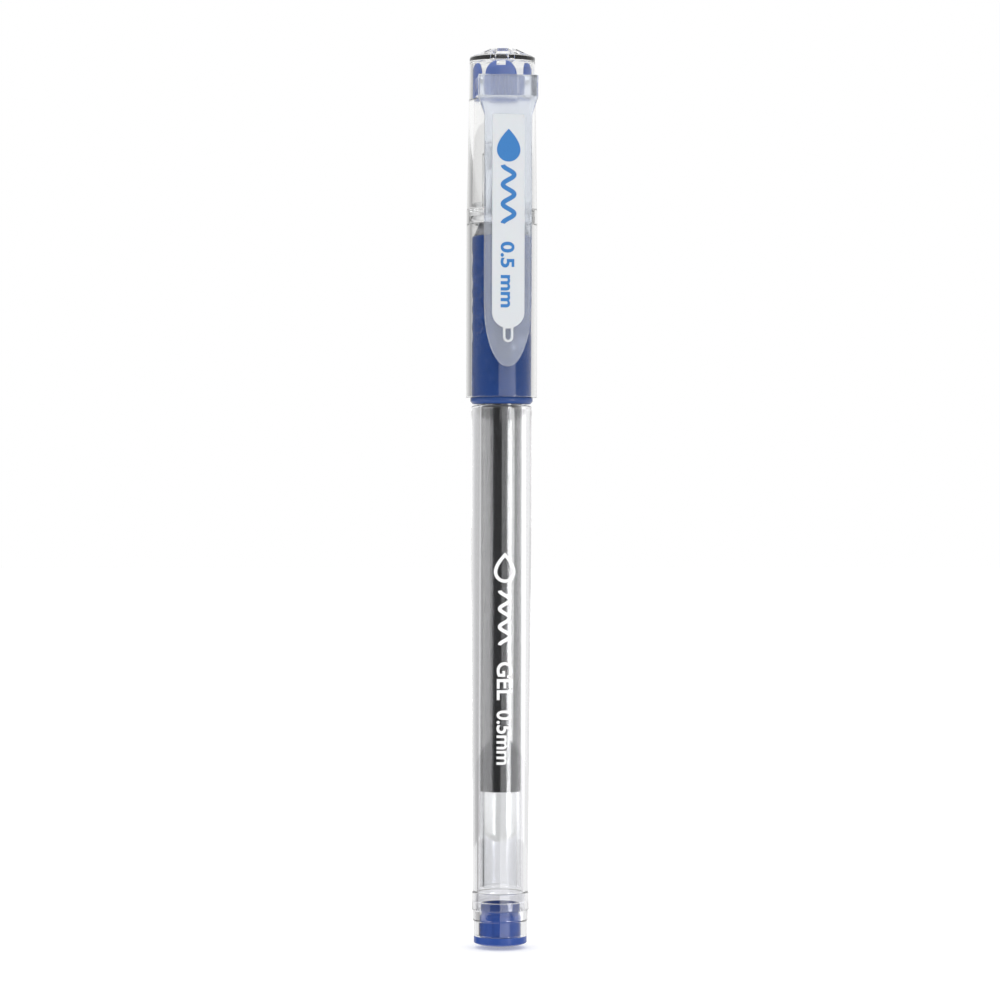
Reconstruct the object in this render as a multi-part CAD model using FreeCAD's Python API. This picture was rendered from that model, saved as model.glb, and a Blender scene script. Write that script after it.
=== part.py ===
"""Clear-barrelled gel pen with a dimpled grip, a screw-on nose cone and a two-part clip cap.

Millimetres. The pen stands on its tail: the origin is the centre of the end plug's face, +Z runs along the
axis towards the crown, and the clip faces -Y.
"""
import FreeCAD, Part
import math
import os

from FreeCAD import Vector

# Heights along the axis, from the tail's end face
PEN_LENGTH = 149.6
PLUG_FLANGE_TOP = 2.0
TAIL_TOP = 9.3
REFILL_REAR = 10.2
INK_REAR = 26.1
TAPER_TOP = 70.0
BARREL_SHOULDER = 90.3
CAP_RIM = 91.6
REFILL_FRONT = 109.0
GRIP_TOP = 118.5
CAP_SEAM = 122.9
NOSE_FRONT = 129.2
BALL_TOP = 132.7
INNER_CAP_TOP = 134.2

# Barrel, tail and grip radii
BARREL_R = 5.05
BARREL_TAIL_R = 4.57
BORE_R = 3.53
BORE_TAIL_R = 3.78
NECK_R = 4.1
TAIL_R = 4.7
TAIL_END_R = 4.42
TAIL_WALL_R = 3.45
TAIL_SOCKET_R = 4.15
TAIL_SOCKET_DEPTH = 3.0
COLLAR_R = 5.2
PLUG_DOME = 0.85
PLUG_GATE_R = 0.8
PLUG_VENT_R = 0.3
PLUG_RIM_R = 3.28
PLUG_WALL = 0.6
PLUG_TOP = 7.5
PLUG_WEB_TOP = 3.0
PLUG_GROOVE_Z = 5.9
PLUG_GROOVE_DEPTH = 0.3
TAIL_RING_HEIGHTS = (4.5, 6.3, 7.7)
GRIP_R = 4.97

# Refill and nib
REFILL_R = 3.4
REFILL_BORE_R = 2.75
FOLLOWER_LENGTH = 8.5
HOLDER_R = 2.6
HOLDER_PLUG_LENGTH = 7.0
HOLDER_SHOULDER = 117.9
HOLDER_WAIST_Z = 122.5
HOLDER_WAIST_R = 1.7
HOLDER_FRONT = 126.8
HOLDER_FRONT_R = 1.42
INK_DUCT_R = 0.6
CHECK_BALL_R = 0.8
CHECK_BALL_Z = 113.0
CHECK_FLOAT = 0.3
NIB_R = 1.15
NIB_REAR = 123.6
NIB_SHOULDER = 129.0
BALL_R = 0.25
BALL_CLEARANCE = 0.02
NIB_LIP_R = 0.4

# Nose cone: a plain spigot stands in for its thread
NOSE_R = 4.66
NOSE_STEP_Z = 121.5
NOSE_STEP_R = 3.4
NOSE_TIP_BASE_R = 2.45
NOSE_TIP_R = 1.62
SPIGOT_R = 3.45
SPIGOT_LENGTH = 7.6

# Cap
CAP_R = 5.9
CAP_BORE_R = 5.1
CAP_RIM_GAP = 0.05
CAP_SOCKET_R = 5.5
FLANGE_BOTTOM = 120.4
CROWN_BASE_R = 5.85
CROWN_TOP_R = 5.45
CROWN_SHOULDER = 148.3
CROWN_WALL = 0.85
VENT_R = 1.4
SLOT_WIDTH = 1.1
SLOT_START_R = 2.4
SLOT_FLOOR = 148.75
INNER_CAP_R = 3.3
INNER_CAP_NECK_R = 2.75
SLIP = 0.02

# Crown insert
INSERT_R = 4.9
INSERT_SEAT_R = 4.95
INSERT_BOTTOM = 141.2
INSERT_TOP = 147.5
INSERT_BORE_R = 2.2
INSERT_TURN = -10.0
LOBE_WIDTH = 5.0
SIDE_LOBE_WIDTH = 3.0
LOBE_BORE_R = 3.8
INSERT_BASE = 1.2
NOTCH_WIDTH = 1.5
NOTCH_DEPTH = 1.0

# Clip
CLIP_WIDTH = 7.84
CLIP_ROOT_WIDTH = 9.84
CLIP_BACK_Y = -7.1
CLIP_THICKNESS = 1.2
CLIP_HINGE_Z = 144.0
ROOT_BOTTOM = 140.8
ROOT_TAPER_END = 138.0
CLIP_TAPER_Z = 107.2
CLIP_TIP_Z = 96.5
PLATE_WIDTH = 5.36
PLATE_THICKNESS = 0.5
PLATE_SEAT_DEPTH = 0.3
PLATE_BOTTOM = 102.8
PLATE_TOP = 138.0
TAB_WIDTH = 1.7
TAB_BOTTOM = 100.5
BEAD_R = 2.4
BEAD_Z = 99.2
CLIP_GAP = 0.12
LUG_BOTTOM = 141.2
LUG_TOP = 144.4

# Grip dimples: rows of oval hollows on three sides
DIMPLE_ROWS = (101.9, 104.8, 107.7, 110.6, 114.7)
DIMPLE_DEPTH = 0.38
DIMPLE_SPHERE_R = 2.6
DIMPLE_SIDES = 3
DIMPLE_COLUMN_ANGLE = 34.0


def lathe(profile):
    """Turn a closed outline of (radius, height) points about the pen's axis."""
    points = [Vector(radius, 0, height) for radius, height in profile]
    wire = Part.makePolygon(points + [points[0]])
    return Part.Face(wire).revolve(Vector(0, 0, 0), Vector(0, 0, 1), 360)


def dome_profile(radius, base, height, steps=6):
    """Points of a shallow spherical cap, from its rim up to the axis."""
    sphere_r = (radius ** 2 + height ** 2) / (2 * height)
    centre = base + height - sphere_r
    rim_angle = math.asin(radius / sphere_r)
    points = []
    for step in range(steps + 1):
        angle = rim_angle * (1 - step / steps)
        points.append((sphere_r * math.sin(angle), centre + sphere_r * math.cos(angle)))
    return points


def bore_r(height):
    """Radius of the barrel's bore at a height."""
    share = (GRIP_TOP - height) / (GRIP_TOP - TAIL_TOP)
    return BORE_R + share * (BORE_TAIL_R - BORE_R)


def barrel_tube():
    """Thick clear tube with a narrower neck for the grip and a spigot for the tail sleeve."""
    spigot_bottom = TAIL_TOP - TAIL_SOCKET_DEPTH
    spigot_r = TAIL_SOCKET_R - SLIP
    edge = 0.12
    return lathe([
        (bore_r(spigot_bottom), spigot_bottom),
        (spigot_r, spigot_bottom),
        (spigot_r, TAIL_TOP),
        (BARREL_TAIL_R, TAIL_TOP),
        (BARREL_R, TAPER_TOP),
        (BARREL_R, BARREL_SHOULDER - edge),
        (BARREL_R - edge, BARREL_SHOULDER),
        (NECK_R, BARREL_SHOULDER),
        (NECK_R, GRIP_TOP),
        (BORE_R, GRIP_TOP),
    ])


def tail_sleeve():
    """Clear rear sleeve with three fine ring steps, bored for the barrel's spigot and the end plug."""
    socket_bottom = TAIL_TOP - TAIL_SOCKET_DEPTH - SLIP
    ring = 0.06
    rise = 0.1
    low, middle, high = TAIL_RING_HEIGHTS
    return lathe([
        (TAIL_WALL_R, PLUG_FLANGE_TOP),
        (TAIL_END_R, PLUG_FLANGE_TOP),
        (TAIL_END_R, low),
        (TAIL_END_R + ring, low + rise),
        (TAIL_R - rise, middle),
        (TAIL_R - rise + ring, middle + rise),
        (TAIL_R - SLIP, high),
        (TAIL_R, high + rise),
        (TAIL_R, TAIL_TOP),
        (TAIL_SOCKET_R, TAIL_TOP),
        (TAIL_SOCKET_R, socket_bottom),
        (TAIL_WALL_R, socket_bottom),
    ])


def end_plug():
    """Blue plug: domed flange with a flat gate disc, grooved cup open towards the nib, off-centre vent."""
    body_r = TAIL_WALL_R - SLIP
    dome = dome_profile(TAIL_END_R, PLUG_DOME, PLUG_DOME)
    skirt = [(radius, 2 * PLUG_DOME - height) for radius, height in dome if radius > PLUG_GATE_R + 0.1]
    plug = lathe([(0, 0), (PLUG_GATE_R, 0)] + skirt[::-1] + [
        (TAIL_END_R, PLUG_FLANGE_TOP),
        (body_r, PLUG_FLANGE_TOP),
        (body_r, PLUG_GROOVE_Z - 0.5),
        (body_r - PLUG_GROOVE_DEPTH, PLUG_GROOVE_Z - 0.1),
        (body_r - PLUG_GROOVE_DEPTH, PLUG_GROOVE_Z + 0.1),
        (PLUG_RIM_R, PLUG_GROOVE_Z + 0.4),
        (PLUG_RIM_R, PLUG_TOP - 0.15),
        (PLUG_RIM_R - 0.15, PLUG_TOP),
        (PLUG_RIM_R - PLUG_WALL, PLUG_TOP),
        (PLUG_RIM_R - PLUG_WALL, PLUG_WEB_TOP),
        (0, PLUG_WEB_TOP),
    ])
    vent = Part.makeCylinder(PLUG_VENT_R, PLUG_WEB_TOP + 1.0, Vector(PLUG_GATE_R + 2 * PLUG_VENT_R, 0, 0))
    return plug.cut(vent)


def grip_collar():
    """Blue stop ring, chamfered inward at its foot."""
    return lathe([
        (NECK_R + SLIP, BARREL_SHOULDER),
        (COLLAR_R - 0.35, BARREL_SHOULDER),
        (COLLAR_R, BARREL_SHOULDER + 0.45),
        (COLLAR_R, CAP_RIM - 0.1),
        (COLLAR_R - 0.1, CAP_RIM),
        (NECK_R + SLIP, CAP_RIM),
    ])


def dimple_angles():
    """Directions of the dimple columns: three finger sides of three columns each, and whether staggered."""
    for side in range(DIMPLE_SIDES):
        middle = 180.0 + side * 360.0 / DIMPLE_SIDES
        for column in (-1, 0, 1):
            yield math.radians(middle + column * DIMPLE_COLUMN_ANGLE), column != 0


def grip_sleeve():
    """Rubber sleeve with a rounded front shoulder and rows of shallow dimples."""
    shoulder = 0.9
    sleeve = lathe([
        (NECK_R + SLIP, CAP_RIM),
        (GRIP_R, CAP_RIM),
        (GRIP_R, GRIP_TOP - shoulder),
        (GRIP_R - 0.07, GRIP_TOP - 0.55),
        (GRIP_R - 0.3, GRIP_TOP - 0.2),
        (GRIP_R - 0.6, GRIP_TOP),
        (NECK_R + SLIP, GRIP_TOP),
    ])
    centre_r = GRIP_R - DIMPLE_DEPTH + DIMPLE_SPHERE_R
    cutters = []
    for angle, staggered in dimple_angles():
        rows = DIMPLE_ROWS
        if staggered:
            rows = [(low + high) / 2 for low, high in zip(DIMPLE_ROWS, DIMPLE_ROWS[1:])]
        for row in rows:
            centre = Vector(centre_r * math.cos(angle), centre_r * math.sin(angle), row)
            cutters.append(Part.makeSphere(DIMPLE_SPHERE_R, centre))
    return sleeve.cut(cutters)


def nose_cone():
    """Grey cone with a step for the inner cap and a hollow spigot that screws into the neck."""
    spigot_bottom = GRIP_TOP - SPIGOT_LENGTH
    gap = 0.12
    inner_r = HOLDER_R + gap
    hole_r = NIB_R + gap
    return lathe([
        (inner_r, spigot_bottom),
        (SPIGOT_R - 0.15, spigot_bottom),
        (SPIGOT_R, spigot_bottom + 0.3),
        (SPIGOT_R, GRIP_TOP),
        (NOSE_R - 0.1, GRIP_TOP),
        (NOSE_R, GRIP_TOP + 0.15),
        (NOSE_STEP_R, NOSE_STEP_Z),
        (NOSE_TIP_BASE_R, NOSE_STEP_Z + 0.15),
        (NOSE_TIP_R, NOSE_FRONT - 0.3),
        (NOSE_TIP_R - 0.2, NOSE_FRONT),
        (hole_r, NOSE_FRONT),
        (hole_r, NOSE_FRONT - 1.5),
        (HOLDER_FRONT_R + gap, HOLDER_FRONT + 0.1),
        (HOLDER_WAIST_R + gap, HOLDER_WAIST_Z),
        (inner_r, HOLDER_SHOULDER + 0.1),
    ])


def refill_tube():
    """Wide clear tube, open at its rear."""
    edge = 0.1
    return lathe([
        (REFILL_BORE_R, REFILL_REAR),
        (REFILL_R - edge, REFILL_REAR),
        (REFILL_R, REFILL_REAR + edge),
        (REFILL_R, REFILL_FRONT),
        (REFILL_BORE_R, REFILL_FRONT),
    ])


def ink_column():
    """Gel ink that fills the tube from the grease to the holder's plug."""
    return Part.makeCylinder(
        REFILL_BORE_R - SLIP, REFILL_FRONT - HOLDER_PLUG_LENGTH - INK_REAR, Vector(0, 0, INK_REAR))


def ink_follower():
    """Clear grease plug that seals the ink from behind."""
    return Part.makeCylinder(
        REFILL_BORE_R - SLIP, FOLLOWER_LENGTH - SLIP, Vector(0, 0, INK_REAR - FOLLOWER_LENGTH))


def nib_holder():
    """Carrier: a plug in the tube, a stop flange, a chamber for the check ball and a socket for the nib."""
    plug_bottom = REFILL_FRONT - HOLDER_PLUG_LENGTH
    flange_top = REFILL_FRONT + 1.5
    chamber_r = CHECK_BALL_R + 0.15
    chamber_bottom = CHECK_BALL_Z - CHECK_BALL_R - SLIP
    chamber_top = CHECK_BALL_Z + CHECK_BALL_R + CHECK_FLOAT + SLIP
    socket_r = NIB_R + SLIP
    return lathe([
        (INK_DUCT_R, plug_bottom),
        (REFILL_BORE_R - SLIP, plug_bottom),
        (REFILL_BORE_R - SLIP, REFILL_FRONT),
        (REFILL_R - 0.05, REFILL_FRONT),
        (REFILL_R - 0.05, flange_top),
        (HOLDER_R, flange_top),
        (HOLDER_R, HOLDER_SHOULDER),
        (HOLDER_WAIST_R, HOLDER_WAIST_Z),
        (HOLDER_FRONT_R, HOLDER_FRONT),
        (socket_r, HOLDER_FRONT),
        (socket_r, NIB_REAR),
        (INK_DUCT_R, NIB_REAR),
        (INK_DUCT_R, chamber_top),
        (chamber_r, chamber_top),
        (chamber_r, chamber_bottom),
        (INK_DUCT_R, chamber_bottom),
    ])


def check_ball():
    """Ball that closes the duct when the pen is stored nib up."""
    return Part.makeSphere(CHECK_BALL_R, Vector(0, 0, CHECK_BALL_Z))


def nib():
    """Metal tip with a duct and a ball socket whose lip holds the ball in."""
    ball_z = BALL_TOP - BALL_R
    lip_z = ball_z + 0.13
    duct_r = 0.35
    body = lathe([
        (duct_r, NIB_REAR),
        (NIB_R, NIB_REAR),
        (NIB_R, NIB_SHOULDER),
        (NIB_R - 0.12, NIB_SHOULDER + 0.12),
        (NIB_LIP_R + 0.12, lip_z - 0.35),
        (NIB_LIP_R, lip_z - 0.1),
        (NIB_LIP_R - 0.08, lip_z),
        (0.1, lip_z),
        (0.1, ball_z - BALL_R - 0.3),
        (duct_r, ball_z - BALL_R - 0.5),
    ])
    return body.cut(Part.makeSphere(BALL_R + BALL_CLEARANCE, Vector(0, 0, ball_z)))


def writing_ball():
    """Half-millimetre ball."""
    return Part.makeSphere(BALL_R, Vector(0, 0, BALL_TOP - BALL_R))


def cap_shell():
    """Lower clear tube of the cap, chamfered inside its rim, with a socket for the inner cap's flange."""
    rim = CAP_RIM + CAP_RIM_GAP
    chamfer = 0.45
    edge = 0.1
    return lathe([
        (CAP_BORE_R + chamfer, rim),
        (CAP_R - edge, rim),
        (CAP_R, rim + edge),
        (CAP_R, CAP_SEAM - edge),
        (CAP_R - edge, CAP_SEAM),
        (CAP_SOCKET_R, CAP_SEAM),
        (CAP_SOCKET_R, FLANGE_BOTTOM),
        (CAP_BORE_R, FLANGE_BOTTOM),
        (CAP_BORE_R, rim + chamfer),
    ])


def inner_cap():
    """Clear inner tube closed over the nib, with a flange that the two cap parts hold between them."""
    mouth_z = NOSE_STEP_Z + 0.35
    flange_r = CAP_SOCKET_R - SLIP
    upstand_r = crown_bore_r(CAP_SEAM + 1.0) - SLIP
    bore_front_r = NOSE_TIP_R + 0.25
    return lathe([
        (NOSE_TIP_BASE_R + 0.25, mouth_z),
        (INNER_CAP_R + 0.4, mouth_z),
        (flange_r, FLANGE_BOTTOM + SLIP),
        (flange_r, CAP_SEAM),
        (upstand_r, CAP_SEAM),
        (upstand_r, CAP_SEAM + 1.0),
        (upstand_r - 0.5, CAP_SEAM + 1.0),
        (upstand_r - 0.5, CAP_SEAM + 0.2),
        (INNER_CAP_R, CAP_SEAM + 0.2),
        (INNER_CAP_R, INNER_CAP_TOP - 1.9),
        (INNER_CAP_NECK_R, INNER_CAP_TOP - 1.8),
        (INNER_CAP_NECK_R, INNER_CAP_TOP - 0.15),
        (INNER_CAP_NECK_R - 0.15, INNER_CAP_TOP),
        (0, INNER_CAP_TOP),
        (0, INNER_CAP_TOP - 0.7),
        (bore_front_r, INNER_CAP_TOP - 0.7),
        (bore_front_r, NOSE_FRONT + 0.2),
    ])


def tip_seal():
    """Soft pad that closes the ball off from the air."""
    seal_r = NOSE_TIP_R + 0.25 - SLIP
    thickness = 0.6
    return Part.makeCylinder(seal_r, thickness, Vector(0, 0, INNER_CAP_TOP - 0.7 - thickness - SLIP))


def crown_r(height):
    """Outer radius of the crown's wall at a height."""
    share = (height - CAP_SEAM) / (CROWN_SHOULDER - CAP_SEAM)
    return CROWN_BASE_R + share * (CROWN_TOP_R - CROWN_BASE_R)


def crown_bore_r(height):
    """Inner radius of the crown's wall at a height below the insert's seat."""
    return crown_r(height) - CROWN_WALL


def cap_crown():
    """Upper clear part: tapered wall, seat for the insert, slotted dome with a vent, and the clip's lug."""
    roof = INSERT_TOP + SLIP
    seat_bottom = INSERT_BOTTOM - SLIP
    wall = lathe([
        (crown_bore_r(CAP_SEAM), CAP_SEAM),
        (crown_r(CAP_SEAM), CAP_SEAM),
        (crown_r(CROWN_SHOULDER), CROWN_SHOULDER),
        (CROWN_TOP_R - 0.25, CROWN_SHOULDER + 0.45),
        (CROWN_TOP_R - 0.85, CROWN_SHOULDER + 0.75),
        (CROWN_TOP_R - 1.85, CROWN_SHOULDER + 1.1),
        (CROWN_TOP_R - 2.85, PEN_LENGTH),
        (VENT_R + 0.5, PEN_LENGTH - 0.05),
        (VENT_R, PEN_LENGTH - 0.4),
        (VENT_R, roof),
        (INSERT_SEAT_R, roof),
        (INSERT_SEAT_R, seat_bottom),
        (crown_bore_r(seat_bottom), seat_bottom),
    ])
    slots = []
    for quarter in range(4):
        corner = Vector(SLOT_START_R, -SLOT_WIDTH / 2, SLOT_FLOOR)
        slot = Part.makeBox(CROWN_TOP_R, SLOT_WIDTH, PEN_LENGTH - SLOT_FLOOR + 1.0, corner)
        slot.rotate(Vector(0, 0, 0), Vector(0, 0, 1), 45 + 90 * quarter)
        slots.append(slot)
    lug_front = CLIP_BACK_Y + CLIP_GAP
    lug_height = LUG_TOP - LUG_BOTTOM
    lug_corner = Vector(-CLIP_ROOT_WIDTH / 2, lug_front, LUG_BOTTOM)
    lug = Part.makeBox(CLIP_ROOT_WIDTH, -lug_front, lug_height, lug_corner)
    hollow = Part.makeCylinder(INSERT_SEAT_R + 0.1, lug_height, Vector(0, 0, LUG_BOTTOM))
    return wall.cut(slots).fuse(lug.cut(hollow)).removeSplitter()


def crown_insert():
    """Blue insert: four thin arched lobes on a base ring, each with a square notch in its top."""
    body = lathe([
        (INSERT_BORE_R, INSERT_BOTTOM),
        (INSERT_R, INSERT_BOTTOM),
        (INSERT_R, INSERT_TOP - 1.2),
        (INSERT_R - 0.35, INSERT_TOP - 0.4),
        (INSERT_R - 0.95, INSERT_TOP),
        (INSERT_BORE_R, INSERT_TOP),
    ])
    height = INSERT_TOP - INSERT_BOTTOM
    reach = 2 * INSERT_R
    notch_floor = INSERT_TOP - NOTCH_DEPTH
    notch = Part.makeBox(2 * reach, NOTCH_WIDTH, height, Vector(-reach, -NOTCH_WIDTH / 2, notch_floor))
    hollow = Part.makeCylinder(LOBE_BORE_R, height, Vector(0, 0, INSERT_BOTTOM + INSERT_BASE))
    lobes = []
    cuts = [hollow]
    for turn, width in ((0, SIDE_LOBE_WIDTH), (90, LOBE_WIDTH)):
        lobe = Part.makeBox(2 * reach, width, height, Vector(-reach, -width / 2, INSERT_BOTTOM))
        for tool, made in ((lobe, lobes), (notch, cuts)):
            turned = tool.copy()
            turned.rotate(Vector(0, 0, 0), Vector(0, 0, 1), INSERT_TURN + turn)
            made.append(turned)
    return body.common(lobes[0].fuse(lobes[1])).cut(cuts).removeSplitter()


def outline_face(points, y):
    """Face in a plane of constant Y from (x, z) points."""
    corners = [Vector(x, y, z) for x, z in points]
    return Part.Face(Part.makePolygon(corners + [corners[0]]))


def tip_outline(half_width, straight_z, tip_z, steps=8):
    """Right-hand edge of a tongue that narrows on a quarter ellipse to its tip."""
    points = []
    for step in range(steps + 1):
        angle = math.pi / 2 * step / steps
        points.append((half_width * math.cos(angle), straight_z + (tip_z - straight_z) * math.sin(angle)))
    return points


def clip_tongue():
    """Frosted clip: wide root, rounded hinge end, straight sides, elliptical tip and a bead behind."""
    half = CLIP_WIDTH / 2
    root_half = CLIP_ROOT_WIDTH / 2
    right = [(root_half, CLIP_HINGE_Z), (root_half, ROOT_BOTTOM), (half, ROOT_TAPER_END)]
    right += tip_outline(half, CLIP_TAPER_Z, CLIP_TIP_Z)
    left = [(-x, z) for x, z in right[::-1][1:]]
    tongue = outline_face(right + left, CLIP_BACK_Y).extrude(Vector(0, -CLIP_THICKNESS, 0))
    hinge_end = Part.makeCylinder(
        CLIP_THICKNESS / 2, CLIP_ROOT_WIDTH,
        Vector(-root_half, CLIP_BACK_Y - CLIP_THICKNESS / 2, CLIP_HINGE_Z), Vector(1, 0, 0))
    bead = Part.makeSphere(BEAD_R, Vector(0, -CAP_R - CLIP_GAP - BEAD_R, BEAD_Z))
    bead_size = 2 * BEAD_R
    front_corner = Vector(-BEAD_R, CLIP_BACK_Y - CLIP_THICKNESS / 2 - bead_size, BEAD_Z - BEAD_R)
    bead_front = Part.makeBox(bead_size, bead_size, bead_size, front_corner)
    body = tongue.fuse([hinge_end, bead.cut(bead_front)])
    return body.cut(plate_blank(SLIP, CLIP_THICKNESS)).removeSplitter()


def plate_blank(slack, thickness):
    """Round-ended slab with a tab below it; its back is the floor of the seat in the clip's front."""
    floor_y = CLIP_BACK_Y - CLIP_THICKNESS + PLATE_SEAT_DEPTH + slack
    half = PLATE_WIDTH / 2 + slack
    tab_half = TAB_WIDTH / 2 + slack
    points = [(half, PLATE_TOP + slack), (half, PLATE_BOTTOM + half)]
    points += tip_outline(half, PLATE_BOTTOM + half, PLATE_BOTTOM - slack)[1:]
    points += [(-x, z) for x, z in points[::-1][1:]]
    tab_points = [(tab_half, PLATE_BOTTOM + 1.0), (tab_half, TAB_BOTTOM + tab_half)]
    tab_points += tip_outline(tab_half, TAB_BOTTOM + tab_half, TAB_BOTTOM - slack)[1:]
    tab_points += [(-x, z) for x, z in tab_points[::-1][1:]]
    out = Vector(0, -thickness, 0)
    slab = outline_face(points, floor_y).extrude(out)
    return slab.fuse(outline_face(tab_points, floor_y).extrude(out)).removeSplitter()


def clip_plate():
    """White plate let into the clip, with a small tab that shows below it."""
    return plate_blank(0.0, PLATE_THICKNESS)


NODES = {
    "barrel_tube": barrel_tube,
    "tail_sleeve": tail_sleeve,
    "end_plug": end_plug,
    "grip_collar": grip_collar,
    "grip_sleeve": grip_sleeve,
    "nose_cone": nose_cone,
    "refill_tube": refill_tube,
    "ink_column": ink_column,
    "ink_follower": ink_follower,
    "nib_holder": nib_holder,
    "check_ball": check_ball,
    "nib": nib,
    "writing_ball": writing_ball,
    "cap_shell": cap_shell,
    "inner_cap": inner_cap,
    "tip_seal": tip_seal,
    "cap_crown": cap_crown,
    "crown_insert": crown_insert,
    "clip_tongue": clip_tongue,
    "clip_plate": clip_plate,
}

os.makedirs("parts", exist_ok=True)
for name, make in NODES.items():
    shape = make()
    shape.exportStep("parts/" + name + ".step")
    print(f"{name:14s} solids {len(shape.Solids)} valid {shape.isValid()} volume {shape.Volume:9.2f}")
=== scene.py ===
"""Looks of a capped gel pen: clear barrel and cap, blue grip and plugs, black gel refill, frosted pocket clip.

Lengths inside the classes are millimetres in the pen's own frame: +Z from the tail to the crown, -Y the clip's
side. Meshes are written in metres. Heights and outer radii come from the frame's boxes, and the sizes that a box
can't give are dataclass fields.
"""

import logging
import math
from dataclasses import dataclass
from enum import Enum
from typing import Callable, Iterable, Optional, Sequence, Union

import bmesh
import bpy
from mathutils import Matrix, Vector

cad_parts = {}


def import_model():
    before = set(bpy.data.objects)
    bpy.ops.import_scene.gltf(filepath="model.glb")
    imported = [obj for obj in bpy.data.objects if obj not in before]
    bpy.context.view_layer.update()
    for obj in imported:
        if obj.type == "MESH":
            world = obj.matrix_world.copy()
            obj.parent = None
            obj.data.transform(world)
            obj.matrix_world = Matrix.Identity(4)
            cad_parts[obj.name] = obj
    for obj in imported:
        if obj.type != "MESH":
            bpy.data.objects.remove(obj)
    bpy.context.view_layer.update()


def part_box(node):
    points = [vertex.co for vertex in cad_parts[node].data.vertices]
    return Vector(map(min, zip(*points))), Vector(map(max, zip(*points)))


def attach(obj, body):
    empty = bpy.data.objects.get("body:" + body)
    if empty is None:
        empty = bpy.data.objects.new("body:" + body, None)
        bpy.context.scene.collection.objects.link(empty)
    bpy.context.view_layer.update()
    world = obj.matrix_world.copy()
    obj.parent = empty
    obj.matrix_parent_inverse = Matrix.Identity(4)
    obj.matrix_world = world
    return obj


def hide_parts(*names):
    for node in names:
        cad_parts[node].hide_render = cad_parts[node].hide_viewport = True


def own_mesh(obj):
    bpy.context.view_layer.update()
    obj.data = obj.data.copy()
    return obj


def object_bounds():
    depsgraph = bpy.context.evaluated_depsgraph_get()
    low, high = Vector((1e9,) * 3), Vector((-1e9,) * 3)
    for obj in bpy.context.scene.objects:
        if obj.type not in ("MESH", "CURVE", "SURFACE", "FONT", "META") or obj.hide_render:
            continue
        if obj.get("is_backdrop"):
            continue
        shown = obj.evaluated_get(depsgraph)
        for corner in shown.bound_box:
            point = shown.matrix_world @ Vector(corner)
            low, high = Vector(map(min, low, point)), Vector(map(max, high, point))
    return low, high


LOG = logging.getLogger("gel_pen")
MM = 0.001
ROUND_STEPS = 160
FINE_STEPS = 64
MERGE_DISTANCE = 1e-6
SLIP = 0.02

Point = tuple[float, float]
Corner = tuple[float, float, float]
Colour = tuple[float, float, float]
Piece = bpy.types.Object


class Axis(Enum):
    """Directions used by cuts and turns."""

    X = (1.0, 0.0, 0.0)
    Y = (0.0, 1.0, 0.0)
    Z = (0.0, 0.0, 1.0)


class Cut(Enum):
    """What a boolean does with its tool."""

    AWAY = "DIFFERENCE"
    JOIN = "UNION"
    COMMON = "INTERSECT"


@dataclass(frozen=True)
class NodeBox:
    """Box of one CAD node, in millimetres."""

    low: Vector
    high: Vector

    @classmethod
    def of(cls, node: str) -> "NodeBox":
        """Read a node's box from the frame.

        Args:
            node: name of the CAD node.

        Returns:
            The node's box in millimetres.
        """
        low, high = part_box(node)
        return cls(low / MM, high / MM)

    @property
    def bottom(self) -> float:
        """Lowest height."""
        return self.low.z

    @property
    def top(self) -> float:
        """Greatest height."""
        return self.high.z

    @property
    def radius(self) -> float:
        """Outer radius of a round node."""
        return self.high.x

    @property
    def length(self) -> float:
        """Extent along the pen."""
        return self.high.z - self.low.z


# ---- outlines


def fillet(before: Point, corner: Point, after: Point, radius: float, steps: int) -> list[Point]:
    """Round one corner of an outline with an arc.

    Args:
        before: point before the corner.
        corner: the corner itself.
        after: point after the corner.
        radius: radius of the arc, cut down where the runs are short.
        steps: number of segments in the arc.

    Returns:
        The arc's points, or the corner alone where nothing can be rounded.
    """
    here = Vector(corner)
    back = Vector(before) - here
    ahead = Vector(after) - here
    if radius <= 0 or min(back.length, ahead.length) < 1e-6:
        return [corner]
    turn = back.angle(ahead)
    if turn > math.radians(179) or turn < math.radians(1):
        return [corner]
    reach = min(radius / math.tan(turn / 2), 0.45 * back.length, 0.45 * ahead.length)
    true_radius = reach * math.tan(turn / 2)
    centre = here + (back.normalized() + ahead.normalized()).normalized() * (true_radius / math.sin(turn / 2))
    start = here + back.normalized() * reach - centre
    sweep = start.angle_signed(here + ahead.normalized() * reach - centre)
    points = []
    for step in range(steps + 1):
        angle = -sweep * step / steps
        x = start.x * math.cos(angle) - start.y * math.sin(angle)
        y = start.x * math.sin(angle) + start.y * math.cos(angle)
        points.append((centre.x + x, centre.y + y))
    return points


def rounded(corners: Sequence[Corner], closed: bool = True, steps: int = 4, support: float = 0.12) -> list[Point]:
    """Turn corners with fillet radii into an outline of plain points.

    Args:
        corners: (radius, height, fillet) of each corner in order.
        closed: whether the last corner joins the first.
        steps: segments in each fillet.
        support: distance of the extra points that hold a long run flat under smooth shading.

    Returns:
        The outline's points.
    """
    count = len(corners)
    runs: list[list[Point]] = []
    for index, (across, along, size) in enumerate(corners):
        if not closed and index in (0, count - 1):
            runs.append([(across, along)])
            continue
        runs.append(fillet(corners[index - 1][:2], (across, along), corners[(index + 1) % count][:2], size, steps))
    points: list[Point] = []
    for index, run in enumerate(runs):
        points.extend(run)
        if not closed and index == count - 1:
            break
        start = Vector(run[-1])
        end = Vector(runs[(index + 1) % count][0])
        gap = end - start
        if gap.length > 4 * support:
            step = gap.normalized() * support
            points.append(tuple(start + step))
            points.append(tuple(end - step))
    return points


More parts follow.
